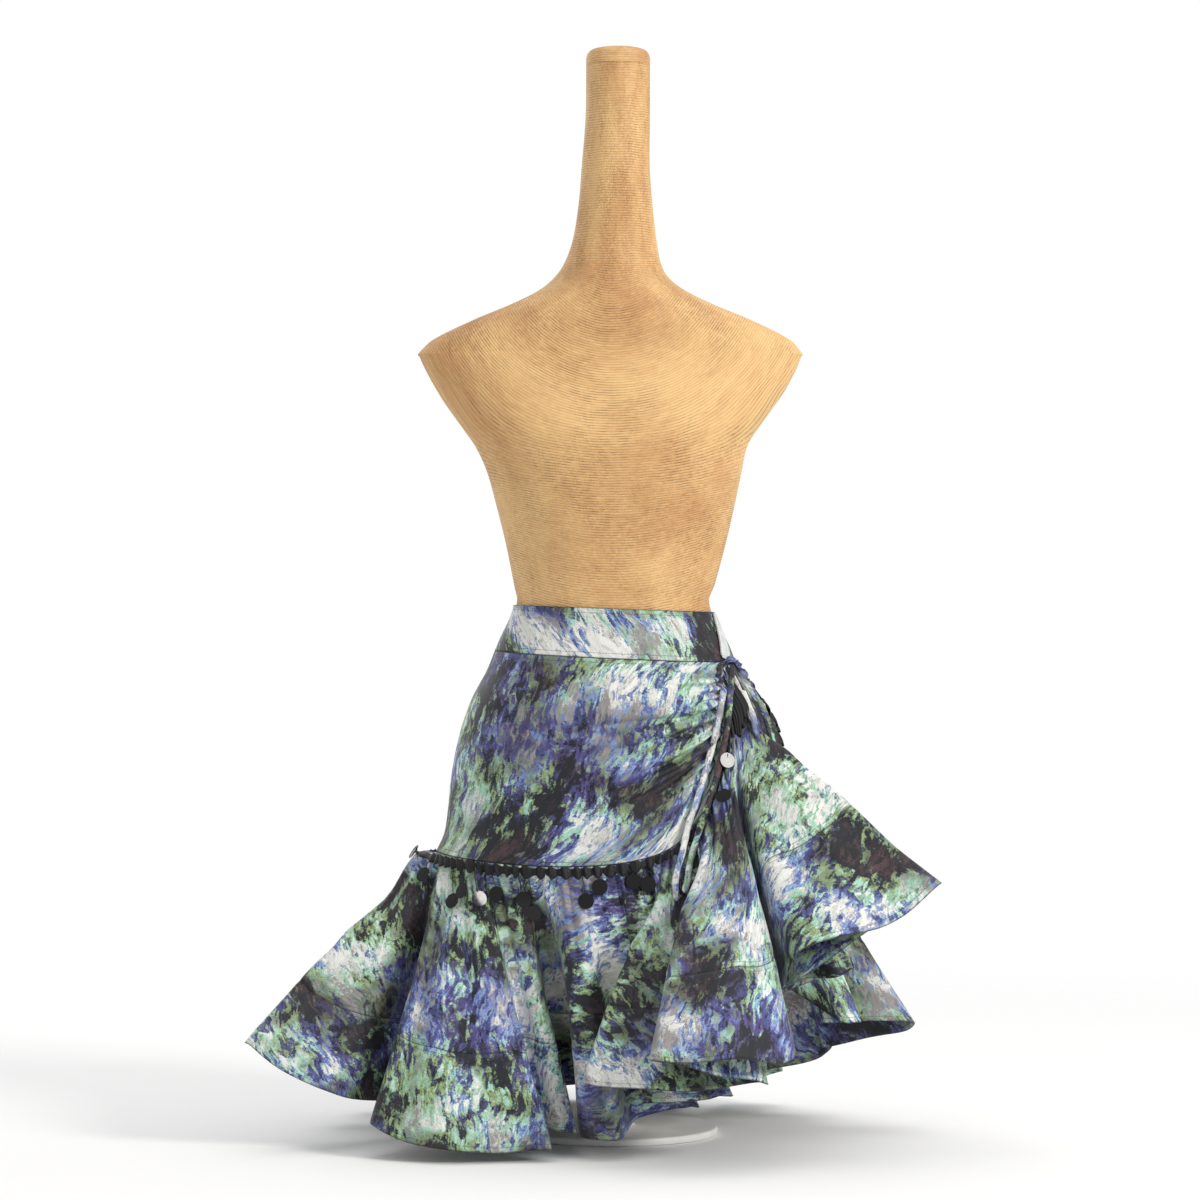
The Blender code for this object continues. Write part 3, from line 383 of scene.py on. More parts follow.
# Share of the flounce's length where the gathers of its seam have faded out
GATHER_FADE = 0.34

# Ribbon under the seam: how far down the flounce it reaches, as shares of the
# length, what is taken off where it hides under the back casing, and what the
# bunch in the slit adds. Places are a seam angle and a half width in degrees.
RIBBON_REACH = 0.043
RIBBON_HIDDEN = 0.034
RIBBON_HIDDEN_PLACE = (-10.0, 6.5)
RIBBON_BUNCH = 0.165
RIBBON_BUNCH_SLOPE = 0.007
RIBBON_BUNCH_PLACE = (-28.0, 12.5)
RIBBON_BUNCH_SLANT_REACH = 12
RIBBON_BULK = 0.0045
RIBBON_BULK_PLACE = (-26.0, 11.0)
RIBBON_WALL = 0.0006
RIBBON_ROWS = 14
RIBBON_STEP = 0.0012

# Plan of the paillettes under the ribbon: seam angle, share of the flounce's
# length where the disc's middle hangs, and how far it is turned and tilted.
# A disc with no tilt of its own faces so that it mirrors the key light.
Paillette = namedtuple("Paillette", "angle share turn tilt")
BRIGHT_FACE = (0.37, -0.89, 0.26)
PAILLETTES = (
    Paillette(-181.5, 0.045, 8, 10), Paillette(-167.5, 0.105, -6, 4),
    Paillette(-149.5, 0.160, 4, -3), Paillette(-145.5, 0.118, -12, 8),
    Paillette(-138.0, 0.145, 10, None), Paillette(-132.0, 0.120, -5, 2),
    Paillette(-120.5, 0.135, 6, -4), Paillette(-117.0, 0.190, -9, 6),
    Paillette(-100.0, 0.135, 3, 5), Paillette(-95.3, 0.086, -10, -6),
    Paillette(-84.6, 0.086, 7, 3), Paillette(-80.6, 0.115, -4, -5),
    Paillette(-51.5, 0.090, 5, 6), Paillette(-48.2, 0.036, -8, None),
    Paillette(-33.5, 0.150, -3, -8), Paillette(14.0, 0.110, -6, -4),
    Paillette(28.0, 0.125, 9, 5), Paillette(33.5, 0.085, -4, -7),
    Paillette(47.5, 0.100, 5, 4), Paillette(52.0, 0.150, -9, 7),
    Paillette(66.0, 0.120, 3, -5), Paillette(70.5, 0.085, -7, 3),
    Paillette(83.0, 0.095, 8, 6), Paillette(88.0, 0.140, -5, -3),
    Paillette(100.5, 0.130, 4, 5), Paillette(105.0, 0.090, -8, -6),
    Paillette(118.0, 0.100, 6, 3), Paillette(122.5, 0.155, -4, 8),
    Paillette(135.0, 0.120, 9, -4), Paillette(139.5, 0.085, -6, 5),
    Paillette(153.0, 0.095, 5, 4), Paillette(158.0, 0.140, -7, -5),
    Paillette(169.0, 0.115, 4, 6),
)
# Threads of the paillettes: the row of points under the ribbon where each
# begins, how far out, and its radius
THREAD_ROW = 8
THREAD_TOP_OUT = 0.0040
THREAD_RADIUS = 0.00045

# Middle lines of the drawstring ends, each from its casing to its free end,
# and where each was cut from the print
TIE_RADIUS = 0.003
TIE_SIDES = 16
TIE_STEP = 0.0025
TIE_CUTS = {"tie_front": (0.82, 1.74), "tie_middle": (0.26, 0.27),
            "tie_back": (1.90, 1.72)}
TIE_ROUTES = {
    "tie_front": (
        (0.1199, -0.0805, 0.4909),
        (0.1151, -0.0978, 0.4676),
        (0.1095, -0.1070, 0.4410),
        (0.1029, -0.1132, 0.4176),
        (0.0953, -0.1209, 0.3912),
        (0.0877, -0.1271, 0.3669),
        (0.0811, -0.1342, 0.3491),
        (0.0767, -0.1414, 0.3324),
        (0.0734, -0.1507, 0.3181),
        (0.0690, -0.1565, 0.3036),
        (0.0657, -0.1658, 0.2893),
        (0.0656, -0.1729, 0.2782),
        (0.0666, -0.1785, 0.2680),
    ),
    "tie_middle": (
        (0.1295, -0.0498, 0.5131),
        (0.1279, -0.0657, 0.5004),
        (0.1266, -0.0740, 0.4875),
        (0.1252, -0.0833, 0.4726),
        (0.1239, -0.0912, 0.4588),
        (0.1204, -0.1025, 0.4377),
        (0.1159, -0.1097, 0.4175),
        (0.1081, -0.1204, 0.3869),
        (0.0992, -0.1345, 0.3619),
        (0.0927, -0.1429, 0.3453),
        (0.0884, -0.1443, 0.3305),
        (0.0840, -0.1482, 0.3169),
        (0.0807, -0.1559, 0.3035),
        (0.0784, -0.1635, 0.2903),
        (0.0751, -0.1715, 0.2760),
    ),
    "tie_back": (
        (0.1404, -0.0482, 0.4881),
        (0.1456, -0.0558, 0.4752),
        (0.1507, -0.0635, 0.4624),
        (0.1535, -0.0785, 0.4498),
        (0.1555, -0.0828, 0.4370),
    ),
}


def linear(red, green, blue):
    """A screen colour from 0 to 255 as linear light."""
    value = np.array([red, green, blue]) / 255
    bright = ((value + 0.055) / 1.055) ** 2.4
    return tuple(np.where(value > 0.04045, bright, value / 12.92).tolist())


def colour_prop(name, description, red, green, blue):
    """A colour that the user can change."""
    return FloatVectorProperty(
        name=name, description=description, subtype="COLOR", size=3,
        min=0, max=1, default=linear(red, green, blue))


class SkirtSizes(bpy.types.PropertyGroup):
    """Sizes of the cloth and its trimmings."""

    wall: FloatProperty(
        name="Cloth thickness", description="Thickness of the skirt's cloth",
        default=0.0012, min=0.0005, max=0.003, unit="LENGTH")
    gather_depth: FloatProperty(
        name="Gather depth", description="Half height of the seam's gathers",
        default=0.0026, min=0.0, max=0.006, unit="LENGTH")
    gather_length: FloatProperty(
        name="Gather length", description="Seam taken up by one gather",
        default=0.0165, min=0.008, max=0.05, unit="LENGTH")
    drape_scale: FloatProperty(
        name="Drape scale", description="Depth of the drapes at the casings",
        default=2.2, min=0.5, max=4.0, subtype="FACTOR")
    ruffle_length: FloatProperty(
        name="Ruffle length", description="Length of one ruffle of the ribbon",
        default=0.0128, min=0.006, max=0.03, unit="LENGTH")
    paillette_radius: FloatProperty(
        name="Paillette radius", description="Radius of a hanging disc",
        default=0.0086, min=0.004, max=0.015, unit="LENGTH")
    cord_pitch: FloatProperty(
        name="Cord pitch", description="Spacing of the cord wound on the form",
        default=0.0028, min=0.002, max=0.006, unit="LENGTH")
    zip_teeth: IntProperty(
        name="Zip teeth", description="Teeth on the edge of the zip tape",
        default=17, min=10, max=60)


class SkirtColours(bpy.types.PropertyGroup):
    """Colours of the print, the form and the trimmings."""

    cord: colour_prop("Cord", "Paper cord of the form", 231, 190, 132)
    cord_dark: colour_prop("Cord shade", "Darker turns of cord", 189, 139, 92)
    charcoal: colour_prop("Charcoal", "Darkest dabs", 30, 31, 37)
    plum: colour_prop("Plum", "Brownish dark dabs", 80, 58, 62)
    violet: colour_prop("Violet", "Deep violet-blue dabs", 78, 72, 124)
    mauve: colour_prop("Mauve", "Greyish violet dabs", 142, 134, 160)
    periwinkle: colour_prop("Periwinkle", "Violet-blue dabs", 106, 114, 176)
    sky: colour_prop("Sky", "Light blue dabs", 134, 164, 208)
    teal: colour_prop("Teal", "Blue-green dabs", 70, 96, 92)
    mint: colour_prop("Mint", "Mint green dabs", 150, 196, 174)
    lime: colour_prop("Lime", "Yellow-green dabs", 140, 156, 106)
    pale: colour_prop("Pale", "Off-white dabs", 214, 215, 210)
    ribbon: colour_prop("Ribbon", "Black satin", 13, 13, 15)
    tape: colour_prop("Zip tape", "Pale woven tape", 214, 218, 220)
    stand: colour_prop("Stand", "Painted steel", 226, 226, 222)


def sizes():
    """The sizes that the user can change."""
    return bpy.context.scene.skirt_sizes


def colours():
    """The colours that the user can change."""
    return bpy.context.scene.skirt_colours


def smooth_rows(rows, steps):
    """Rows of numbers joined by centripetal Catmull-Rom spans.

    The first and last row only steer the curve and aren't reached.
    """
    rows = np.asarray(rows, float)
    samples = []
    for p0, p1, p2, p3 in zip(rows, rows[1:], rows[2:], rows[3:]):
        k1 = np.sqrt(np.linalg.norm(p1 - p0))
        k2 = k1 + np.sqrt(np.linalg.norm(p2 - p1))
        k3 = k2 + np.sqrt(np.linalg.norm(p3 - p2))
        k = np.linspace(k1, k2, steps, endpoint=False)[:, None]
        a1 = (k1 - k) / k1 * p0 + k / k1 * p1
        a2 = (k2 - k) / (k2 - k1) * p1 + (k - k1) / (k2 - k1) * p2
        a3 = (k3 - k) / (k3 - k2) * p2 + (k - k2) / (k3 - k2) * p3
        b1 = (k2 - k) / k2 * a1 + k / k2 * a2
        b2 = (k3 - k) / (k3 - k1) * a2 + (k - k1) / (k3 - k1) * a3
        samples.append((k2 - k) / (k2 - k1) * b1 + (k - k1) / (k2 - k1) * b2)
    samples.append(rows[-2:-1])
    return np.vstack(samples)


def open_rows(rows, steps):
    """A smooth curve from the first row to the last."""
    rows = np.asarray(rows, float)
    before = 2 * rows[0] - rows[1]
    after = 2 * rows[-1] - rows[-2]
    return smooth_rows(np.vstack([before, rows, after]), steps)


def lengths(points):
    """Distance along a line of points, from its start to each of them."""
    step = np.linalg.norm(np.diff(points, axis=0), axis=-1)
    return np.concatenate([[0], np.cumsum(step)])


def at_places(places, along, points):
    """Points of a line at places along it."""
    return np.stack([np.interp(places, along, points[..., k])
                     for k in range(points.shape[-1])], axis=-1)


def unit(vectors):
    """The vectors with a length of one."""
    return vectors / np.linalg.norm(vectors, axis=-1, keepdims=True)


def smooth_step(value, low, high):
    """0 below low, 1 above high and a soft rise between them."""
    x = np.clip((value - low) / (high - low), 0, 1)
    return x * x * (3 - 2 * x)


def bell(value, centre, width, power=2):
    """1 at the centre, falling to 0 on both sides over about the width."""
    return np.exp(-((value - centre) / width) ** power)


def closed_round(points):
    """A ring's grid with its first column once more at its end."""
    return np.concatenate([points, points[:, :1]], axis=1)


def uneven_wave(place, length, start=0.0):
    """A sine wave whose length wanders by about a third, from -1 to 1."""
    wander = 1.1 * np.sin(TAU * place / (7.3 * length) + start)
    wander = wander + 0.7 * np.sin(TAU * place / (3.1 * length) + 2 * start)
    return np.sin(TAU * place / length + wander + start)


# Sections over the hips as a smooth curve, with rising heights
HIP_CURVE = open_rows(HIP_SECTIONS, 16)[::-1]


def hip_size(height):
    """Half width and half depth of the skirt's wall at a height."""
    return (np.interp(height, HIP_CURVE[:, 0], HIP_CURVE[:, 1]),
            np.interp(height, HIP_CURVE[:, 0], HIP_CURVE[:, 2]))


def on_hips(angle, height, out=0.0):
    """Points on the hips' ellipses at angles and heights, moved out."""
    angle, height = np.broadcast_arrays(np.radians(angle), height)
    half_width, half_depth = hip_size(height)
    return np.stack([(half_width + out) * np.cos(angle),
                     HIP_CENTRE_Y + (half_depth + out) * np.sin(angle),
                     height], axis=-1)


def seam_height(angle):
    """Height of the flounce seam: nearly level, with a hump at the left hip."""
    away = np.asarray(angle, float) - LEFT_SIDE_SEAM
    away = np.abs((away + 180) % 360 - 180) / SEAM_CLIMB_WIDTH
    level = SEAM_LEVEL + SEAM_SIDE_RISE * np.cos(2 * np.radians(angle))
    return level + SEAM_CLIMB / (1 + away ** SEAM_CLIMB_POWER)


def band_top(angle):
    """Height of the waistband's upper edge."""
    return BAND_TOP - BAND_TOP_TILT * np.cos(np.radians(angle))


def band_bottom(angle):
    """Height of the waistband's lower seam."""
    turn = np.radians(angle)
    return (BAND_BOTTOM - BAND_BOTTOM_TILT * np.cos(turn)
            + BAND_BOTTOM_RISE * np.sin(turn))


def surface_normals(grid, ring=False):
    """Unit normals of a grid, across the steps to its neighbours."""
    down = np.gradient(grid, axis=0)
    if ring:
        along = np.roll(grid, -1, axis=1) - np.roll(grid, 1, axis=1)
    else:
        along = np.gradient(grid, axis=1)
    return unit(np.cross(down, along))


def grid_quads(place):
    """Corners of the faces between neighbouring rows and columns."""
    return np.stack([place[:-1, :-1], place[1:, :-1], place[1:, 1:],
                     place[:-1, 1:]], axis=-1).reshape(-1, 4)


def mesh_object(name, points, faces):
    """A smooth mesh of points and faces, as an object of the scene."""
    mesh = bpy.data.meshes.new(name)
    mesh.from_pydata(points.reshape(-1, 3), [], faces)
    mesh.shade_smooth()
    item = bpy.data.objects.new(name, mesh)
    bpy.context.scene.collection.objects.link(item)
    return item


def grid_object(name, points, maps=None, ring=False, flip=False):
    """A mesh of quads over a grid of points.

    On a ring the last column joins the first. Each map is a grid of two
    numbers for each point, with one more column on a ring.
    """
    rows, columns = points.shape[:2]
    across = columns + 1 if ring else columns
    quads = grid_quads(np.arange(rows * across).reshape(rows, across))
    if flip:
        quads = quads[:, ::-1]
    corner = quads // across * columns + quads % across % columns
    item = mesh_object(name, points, corner)
    for title, values in (maps or {}).items():
        layer = item.data.uv_layers.new(name=title)
        flat = np.asarray(values, np.float32).reshape(-1, 2)[quads.reshape(-1)]
        layer.data.foreach_set("uv", flat.reshape(-1))
    return item


def dress(item, material, slot, *nodes):
    """Finish a piece: its material, the solid it stands for and its body."""
    item.data.materials.append(material)
    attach(item, "root")
    if nodes:
        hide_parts(*nodes)
    return item


def cloth_piece(solid, points, maps, wall, name=None,
                finish=("print_crepe", "print_cloth"), ring=False,
                flip=False):
    """A piece of cloth that stands for a solid: mesh, wall, finish and cut.

    Half of the wall lies to each side of the points. The finish is the name
    of a material and of a slot, which is not used.
    """
    item = grid_object(name or solid + "_cloth", points, maps, ring, flip)
    thickness = item.modifiers.new("Thickness", "SOLIDIFY")
    thickness.thickness = wall
    thickness.offset = 0
    dress(item, finish_named(finish[0]), finish[1], solid)


def flat_maps(points, start=(0.0, 0.0), stretch=(1.0, 1.0)):
    """The cut map and the sewn map of a cloth piece.

    The cut map is in metres along and down the cloth, stretched where it is
    drawn up and moved to its start in the print. The sewn map is metres along
    and the distance to the nearer of the top and low edges.
    """
    along = np.vstack([lengths(row) for row in points])
    down = np.stack([lengths(points[:, c])
                     for c in range(points.shape[1])], axis=1)
    middle = along[:, along.shape[1] // 2]
    cut = np.stack([along - middle[:, None], -down], axis=-1) * stretch + start
    sewn = np.stack([along, np.minimum(down, down[-1:] - down)], axis=-1)
    return {"cut": cut, "sewn": sewn}


def set_inputs(tree, item, inputs):
    """Give a node's inputs their values or links."""
    for key, value in inputs.items():
        if isinstance(value, bpy.types.NodeSocket):
            tree.links.new(value, item.inputs[key])
        else:
            item.inputs[key].default_value = value


def node(tree, kind, inputs=None, **settings):
    """Add a shader node, with its settings and its values or links."""
    item = tree.nodes.new(kind)
    for key, value in settings.items():
        setattr(item, key, value)
    set_inputs(tree, item, inputs or {})
    return item


def calc(tree, operation, first, second=0.0, third=0.0, clamp=False):
    """Result of a Math node."""
    item = node(tree, "ShaderNodeMath", {0: first, 1: second, 2: third},
                operation=operation, use_clamp=clamp)
    return item.outputs[0]


def shift(tree, operation, first, second):
    """Result of a Vector Math node."""
    item = node(tree, "ShaderNodeVectorMath", {0: first, 1: second},
                operation=operation)
    return item.outputs[0]


def noise(tree, vector, scale, detail=2.0, roughness=0.5, output="Fac"):
    """Result of a Noise Texture node."""
    item = node(tree, "ShaderNodeTexNoise",
                {"Vector": vector, "Scale": scale, "Detail": detail,
                 "Roughness": roughness})
    return item.outputs[output]


def remap(tree, value, low, high, new_low=0.0, new_high=1.0, soft=False):
    """A value moved from one range to another."""
    item = node(tree, "ShaderNodeMapRange",
                {"Value": value, "From Min": low, "From Max": high,
                 "To Min": new_low, "To Max": new_high},
                interpolation_type="SMOOTHSTEP" if soft else "LINEAR")
    return item.outputs["Result"]


def opaque(colour):
    """A colour with its alpha of 1, or a linked colour as it is."""
    if isinstance(colour, bpy.types.NodeSocket):
        return colour
    return (*colour[:3], 1)


def blend(tree, factor, first, second):
    """Result of a Mix node on two colours."""
    item = node(tree, "ShaderNodeMix",
                {0: factor, 6: opaque(first), 7: opaque(second)},
                data_type="RGBA")
    return item.outputs[2]


def ramp(tree, factor, stops):
    """Colour ramp through stops of a place and a colour."""
    item = node(tree, "ShaderNodeValToRGB", {"Fac": factor})
    ends = item.color_ramp.elements
    for element, (place, colour) in zip(ends, (stops[0], stops[-1])):
        element.position = place
        element.color = opaque(colour)
    for place, colour in stops[1:-1]:
        ends.new(place).color = opaque(colour)
    return item.outputs["Color"]


def new_group(name, inputs, outputs):
    """An empty node group with its sockets and its two end nodes."""
    tree = bpy.data.node_groups.new(name, "ShaderNodeTree")
    for title, kind, value in inputs:
        socket = tree.interface.new_socket(title, in_out="INPUT",
                                           socket_type=kind)
        if value is not None:
            socket.default_value = value
    for title, kind in outputs:
        tree.interface.new_socket(title, in_out="OUTPUT", socket_type=kind)
    return tree, node(tree, "NodeGroupInput"), node(tree, "NodeGroupOutput")


def use_group(tree, name, inputs):
    """Outputs of a node group that is placed in a material."""
    return node(tree, "ShaderNodeGroup", inputs,
                node_tree=bpy.data.node_groups[name]).outputs


def make_weave_group():
    """Height of a plain weave: threads across each other on a map in metres."""
    tree, start, end = new_group(
        "woven_threads",
        [("Place", "NodeSocketVector", None),
         ("Pitch", "NodeSocketFloat", 0.0006),
         ("Crinkle", "NodeSocketFloat", 0.5)],
        [("Height", "NodeSocketFloat")])
    parts = node(tree, "ShaderNodeSeparateXYZ", {0: start.outputs["Place"]})
    waves = []
    for axis in "XY":
        turns = calc(tree, "DIVIDE", parts.outputs[axis],
                     start.outputs["Pitch"])
        waves.append(calc(tree, "SINE", calc(tree, "MULTIPLY", turns, TAU)))
    threads = calc(tree, "MULTIPLY", waves[0], waves[1])
    uneven = noise(tree, start.outputs["Place"], 900.0, 3.0, 0.6)
    crinkle = calc(tree, "MULTIPLY", uneven, start.outputs["Crinkle"])
    height = calc(tree, "MULTIPLY_ADD", threads, 0.25, crinkle)
    tree.links.new(height, end.inputs["Height"])


def make_stitch_group():
    """Mask of short stitches in a row at a distance from a sewn edge."""
    tree, start, end = new_group(
        "stitch_row",
        [("Sewn", "NodeSocketVector", None),
         ("Inset", "NodeSocketFloat", 0.006),
         ("Length", "NodeSocketFloat", 0.003)],
        [("Mask", "NodeSocketFloat")])
    parts = node(tree, "ShaderNodeSeparateXYZ", {0: start.outputs["Sewn"]})
    off = calc(tree, "SUBTRACT", parts.outputs["Y"], start.outputs["Inset"])
    line = remap(tree, calc(tree, "ABSOLUTE", off), 0.0002, 0.0006, 1.0, 0.0)
    turns = calc(tree, "DIVIDE", parts.outputs["X"], start.outputs["Length"])
    gap = calc(tree, "PINGPONG", turns, 0.5)
    dash = remap(tree, gap, 0.08, 0.14)
    tree.links.new(calc(tree, "MULTIPLY", line, dash), end.inputs["Mask"])


def streaks(tree, place, turn, scale):
    """Thin bristle marks across a turned map, from 0 to 1."""
    turned = node(tree, "ShaderNodeMapping",
                  {"Vector": place, "Rotation": (0, 0, np.radians(turn)),
                   "Scale": (1.0, 0.20, 1.0)}, vector_type="POINT")
    return noise(tree, turned.outputs[0], scale, 3.0, 0.65)


def dabs(tree, place, turn, scale, stretch):
    """A value of its own, from 0 to 1, for each of many long cells."""
    turned = node(tree, "ShaderNodeMapping",
                  {"Vector": place, "Rotation": (0, 0, np.radians(turn)),
                   "Scale": (1.0, stretch, 1.0)}, vector_type="POINT")
    cells = node(tree, "ShaderNodeTexVoronoi",
                 {"Vector": turned.outputs[0], "Scale": scale})
    parts = node(tree, "ShaderNodeSeparateXYZ", {0: cells.outputs["Color"]})
    return parts.outputs["X"]


def make_print_group():
    """Colour of the painted print on a map in metres.

    A fractal noise says how dark or pale a place is. Dabs with torn edges,
    bristle marks and specks make its steps ragged. A second one chooses
    between a violet palette and a green one, and a third lays brown shadows.
    """
    tree, start, end = new_group(
        "painted_dabs",
        [("Place", "NodeSocketVector", None)],
        [("Color", "NodeSocketColor"), ("Shade", "NodeSocketFloat")])
    hue = colours()
    place = start.outputs["Place"]

    def moved_by(vector, source, scale, detail, size):
        sway = shift(tree, "SUBTRACT",
                     noise(tree, source, scale, detail, 0.6, "Color"),
                     (0.5, 0.5, 0.5))
        return shift(tree, "ADD", vector, shift(tree, "MULTIPLY", sway,
                                                (size, size, 0.0)))

    def centred(value, size, base=0.0):
        return calc(tree, "MULTIPLY_ADD",
                    calc(tree, "SUBTRACT", value, 0.5), size, base)

    bent = moved_by(place, place, 14.0, 2.0, 0.034)
    torn = moved_by(bent, place, 620.0, 3.0, 0.0052)
    turn_mask = remap(tree, noise(tree, place, 7.0, 1.0), 0.46, 0.54,
                      soft=True)
    turned_back = calc(tree, "SUBTRACT", 1.0, turn_mask)

    def both_ways(one, other):
        return calc(tree, "ADD", calc(tree, "MULTIPLY", one, turn_mask),
                    calc(tree, "MULTIPLY", other, turned_back))

    bristle = both_ways(streaks(tree, bent, 52, 480.0),
                        streaks(tree, bent, -38, 480.0))
    broad_dab = both_ways(dabs(tree, torn, 48, 120.0, 0.42),
                          dabs(tree, torn, -40, 120.0, 0.42))
    small_dab = both_ways(dabs(tree, torn, 60, 290.0, 0.45),
                          dabs(tree, torn, -30, 290.0, 0.45))
    speck = noise(tree, place, 420.0, 4.0, 0.75)
    brushed = remap(tree, noise(tree, place, 9.0, 2.0), 0.45, 0.60, 0.10, 0.55)
    ragged = calc(tree, "MULTIPLY", calc(tree, "SUBTRACT", bristle, 0.5),
                  brushed)
    ragged = centred(speck, 0.55, ragged)
    ragged = centred(broad_dab, 0.34, ragged)
    ragged = centred(small_dab, 0.26, ragged)

    def zones(offset, scale, roughness, rag):
        moved = shift(tree, "ADD", bent, (offset, 2.3 * offset, 0.0))
        broad = noise(tree, moved, scale, 7.0, roughness)
        return calc(tree, "MULTIPLY_ADD", ragged, rag, broad)

    tone = remap(tree, zones(0.0, 9.0, 0.58, 0.40), 0.35, 0.66)
    cool = ramp(tree, tone, (
        (0.00, hue.charcoal), (0.16, hue.charcoal), (0.28, hue.violet),
        (0.40, hue.violet), (0.52, hue.periwinkle), (0.62, hue.sky),
        (0.69, hue.mauve), (0.80, hue.pale), (1.00, hue.pale)))
    green = ramp(tree, tone, (
        (0.00, hue.plum), (0.16, hue.charcoal), (0.30, hue.charcoal),
        (0.37, hue.teal), (0.44, hue.lime), (0.52, hue.lime),
        (0.59, hue.mint), (0.69, hue.mint), (0.78, hue.pale),
        (1.00, hue.pale)))
    split = remap(tree, zones(5.0, 7.5, 0.60, 0.60), 0.47, 0.51)
    mixed = blend(tree, split, cool, green)
    shadow = remap(tree, zones(9.0, 9.0, 0.62, 0.50), 0.55, 0.62, 0.0, 0.70)
    brown = blend(tree, remap(tree, bristle, 0.35, 0.60), hue.charcoal,
                  hue.plum)
    mixed = blend(tree, shadow, mixed, brown)
    bright = remap(tree, centred(small_dab, 0.6, bristle), 0.2, 0.8,
                   0.80, 1.17)
    tinted = node(tree, "ShaderNodeHueSaturation",
                  {"Value": bright, "Color": mixed,
                   "Hue": remap(tree, broad_dab, 0.0, 1.0, 0.475, 0.52)})
    tree.links.new(tinted.outputs[0], end.inputs["Color"])
    tree.links.new(bristle, end.inputs["Shade"])


def new_material(name):
    """The tree of a new material, and its own Principled shader."""
    item = bpy.data.materials.new(name)
    item.use_nodes = True
    return item.node_tree, item.node_tree.nodes["Principled BSDF"]


def uv_map(tree, title):
    """Places on one of the piece's own maps."""
    return node(tree, "ShaderNodeUVMap", uv_map=title).outputs["UV"]


def object_place(tree):
    """Places in metres, in the part's own frame."""
    return node(tree, "ShaderNodeTexCoord").outputs["Object"]


def add_bump(tree, shader, height, strength, distance):
    """Relief of a height mask, in metres."""
    bump = node(tree, "ShaderNodeBump",
                {"Height": height, "Strength": strength,
                 "Distance": distance})
    tree.links.new(bump.outputs["Normal"], shader.inputs["Normal"])


def make_print_cloth():
    """Printed crepe: dabs of colour, a fine weave, rows of stitches and painted
    shade along the sewn edges.
    """
    tree, shader = new_material("print_crepe")
    place = uv_map(tree, "cut")
    paint = use_group(tree, "painted_dabs", {"Place": place})
    weave = use_group(tree, "woven_threads",
                      {"Place": place, "Pitch": 0.0007, "Crinkle": 0.9})
    stitch = use_group(tree, "stitch_row",
                       {"Sewn": uv_map(tree, "sewn"), "Inset": 0.0055,
                        "Length": 0.0034})
    thread = blend(tree, calc(tree, "MULTIPLY", stitch["Mask"], 0.6),
                   paint["Color"], colours().charcoal)
    rough = remap(tree, paint["Shade"], 0.2, 0.8, 0.50, 0.64)
    # Painted shade along the seams: within about a millimetre of a sewn edge
    # the colour is darkened towards charcoal
    edge = node(tree, "ShaderNodeSeparateXYZ",
                {0: uv_map(tree, "sewn")}).outputs["Y"]
    dark = remap(tree, edge, 0.0002, 0.0011, 0.75, 0.0)
    seam_shaded = blend(tree, dark, thread, colours().charcoal)
    set_inputs(tree, shader, {
        "Base Color": seam_shaded, "Roughness": rough, "Specular IOR Level": 0.35,
        "Sheen Weight": 0.12, "Sheen Roughness": 0.4})
    dent = calc(tree, "MULTIPLY_ADD", stitch["Mask"], -1.2, weave["Height"])
    add_bump(tree, shader, dent, 0.35, 0.0003)


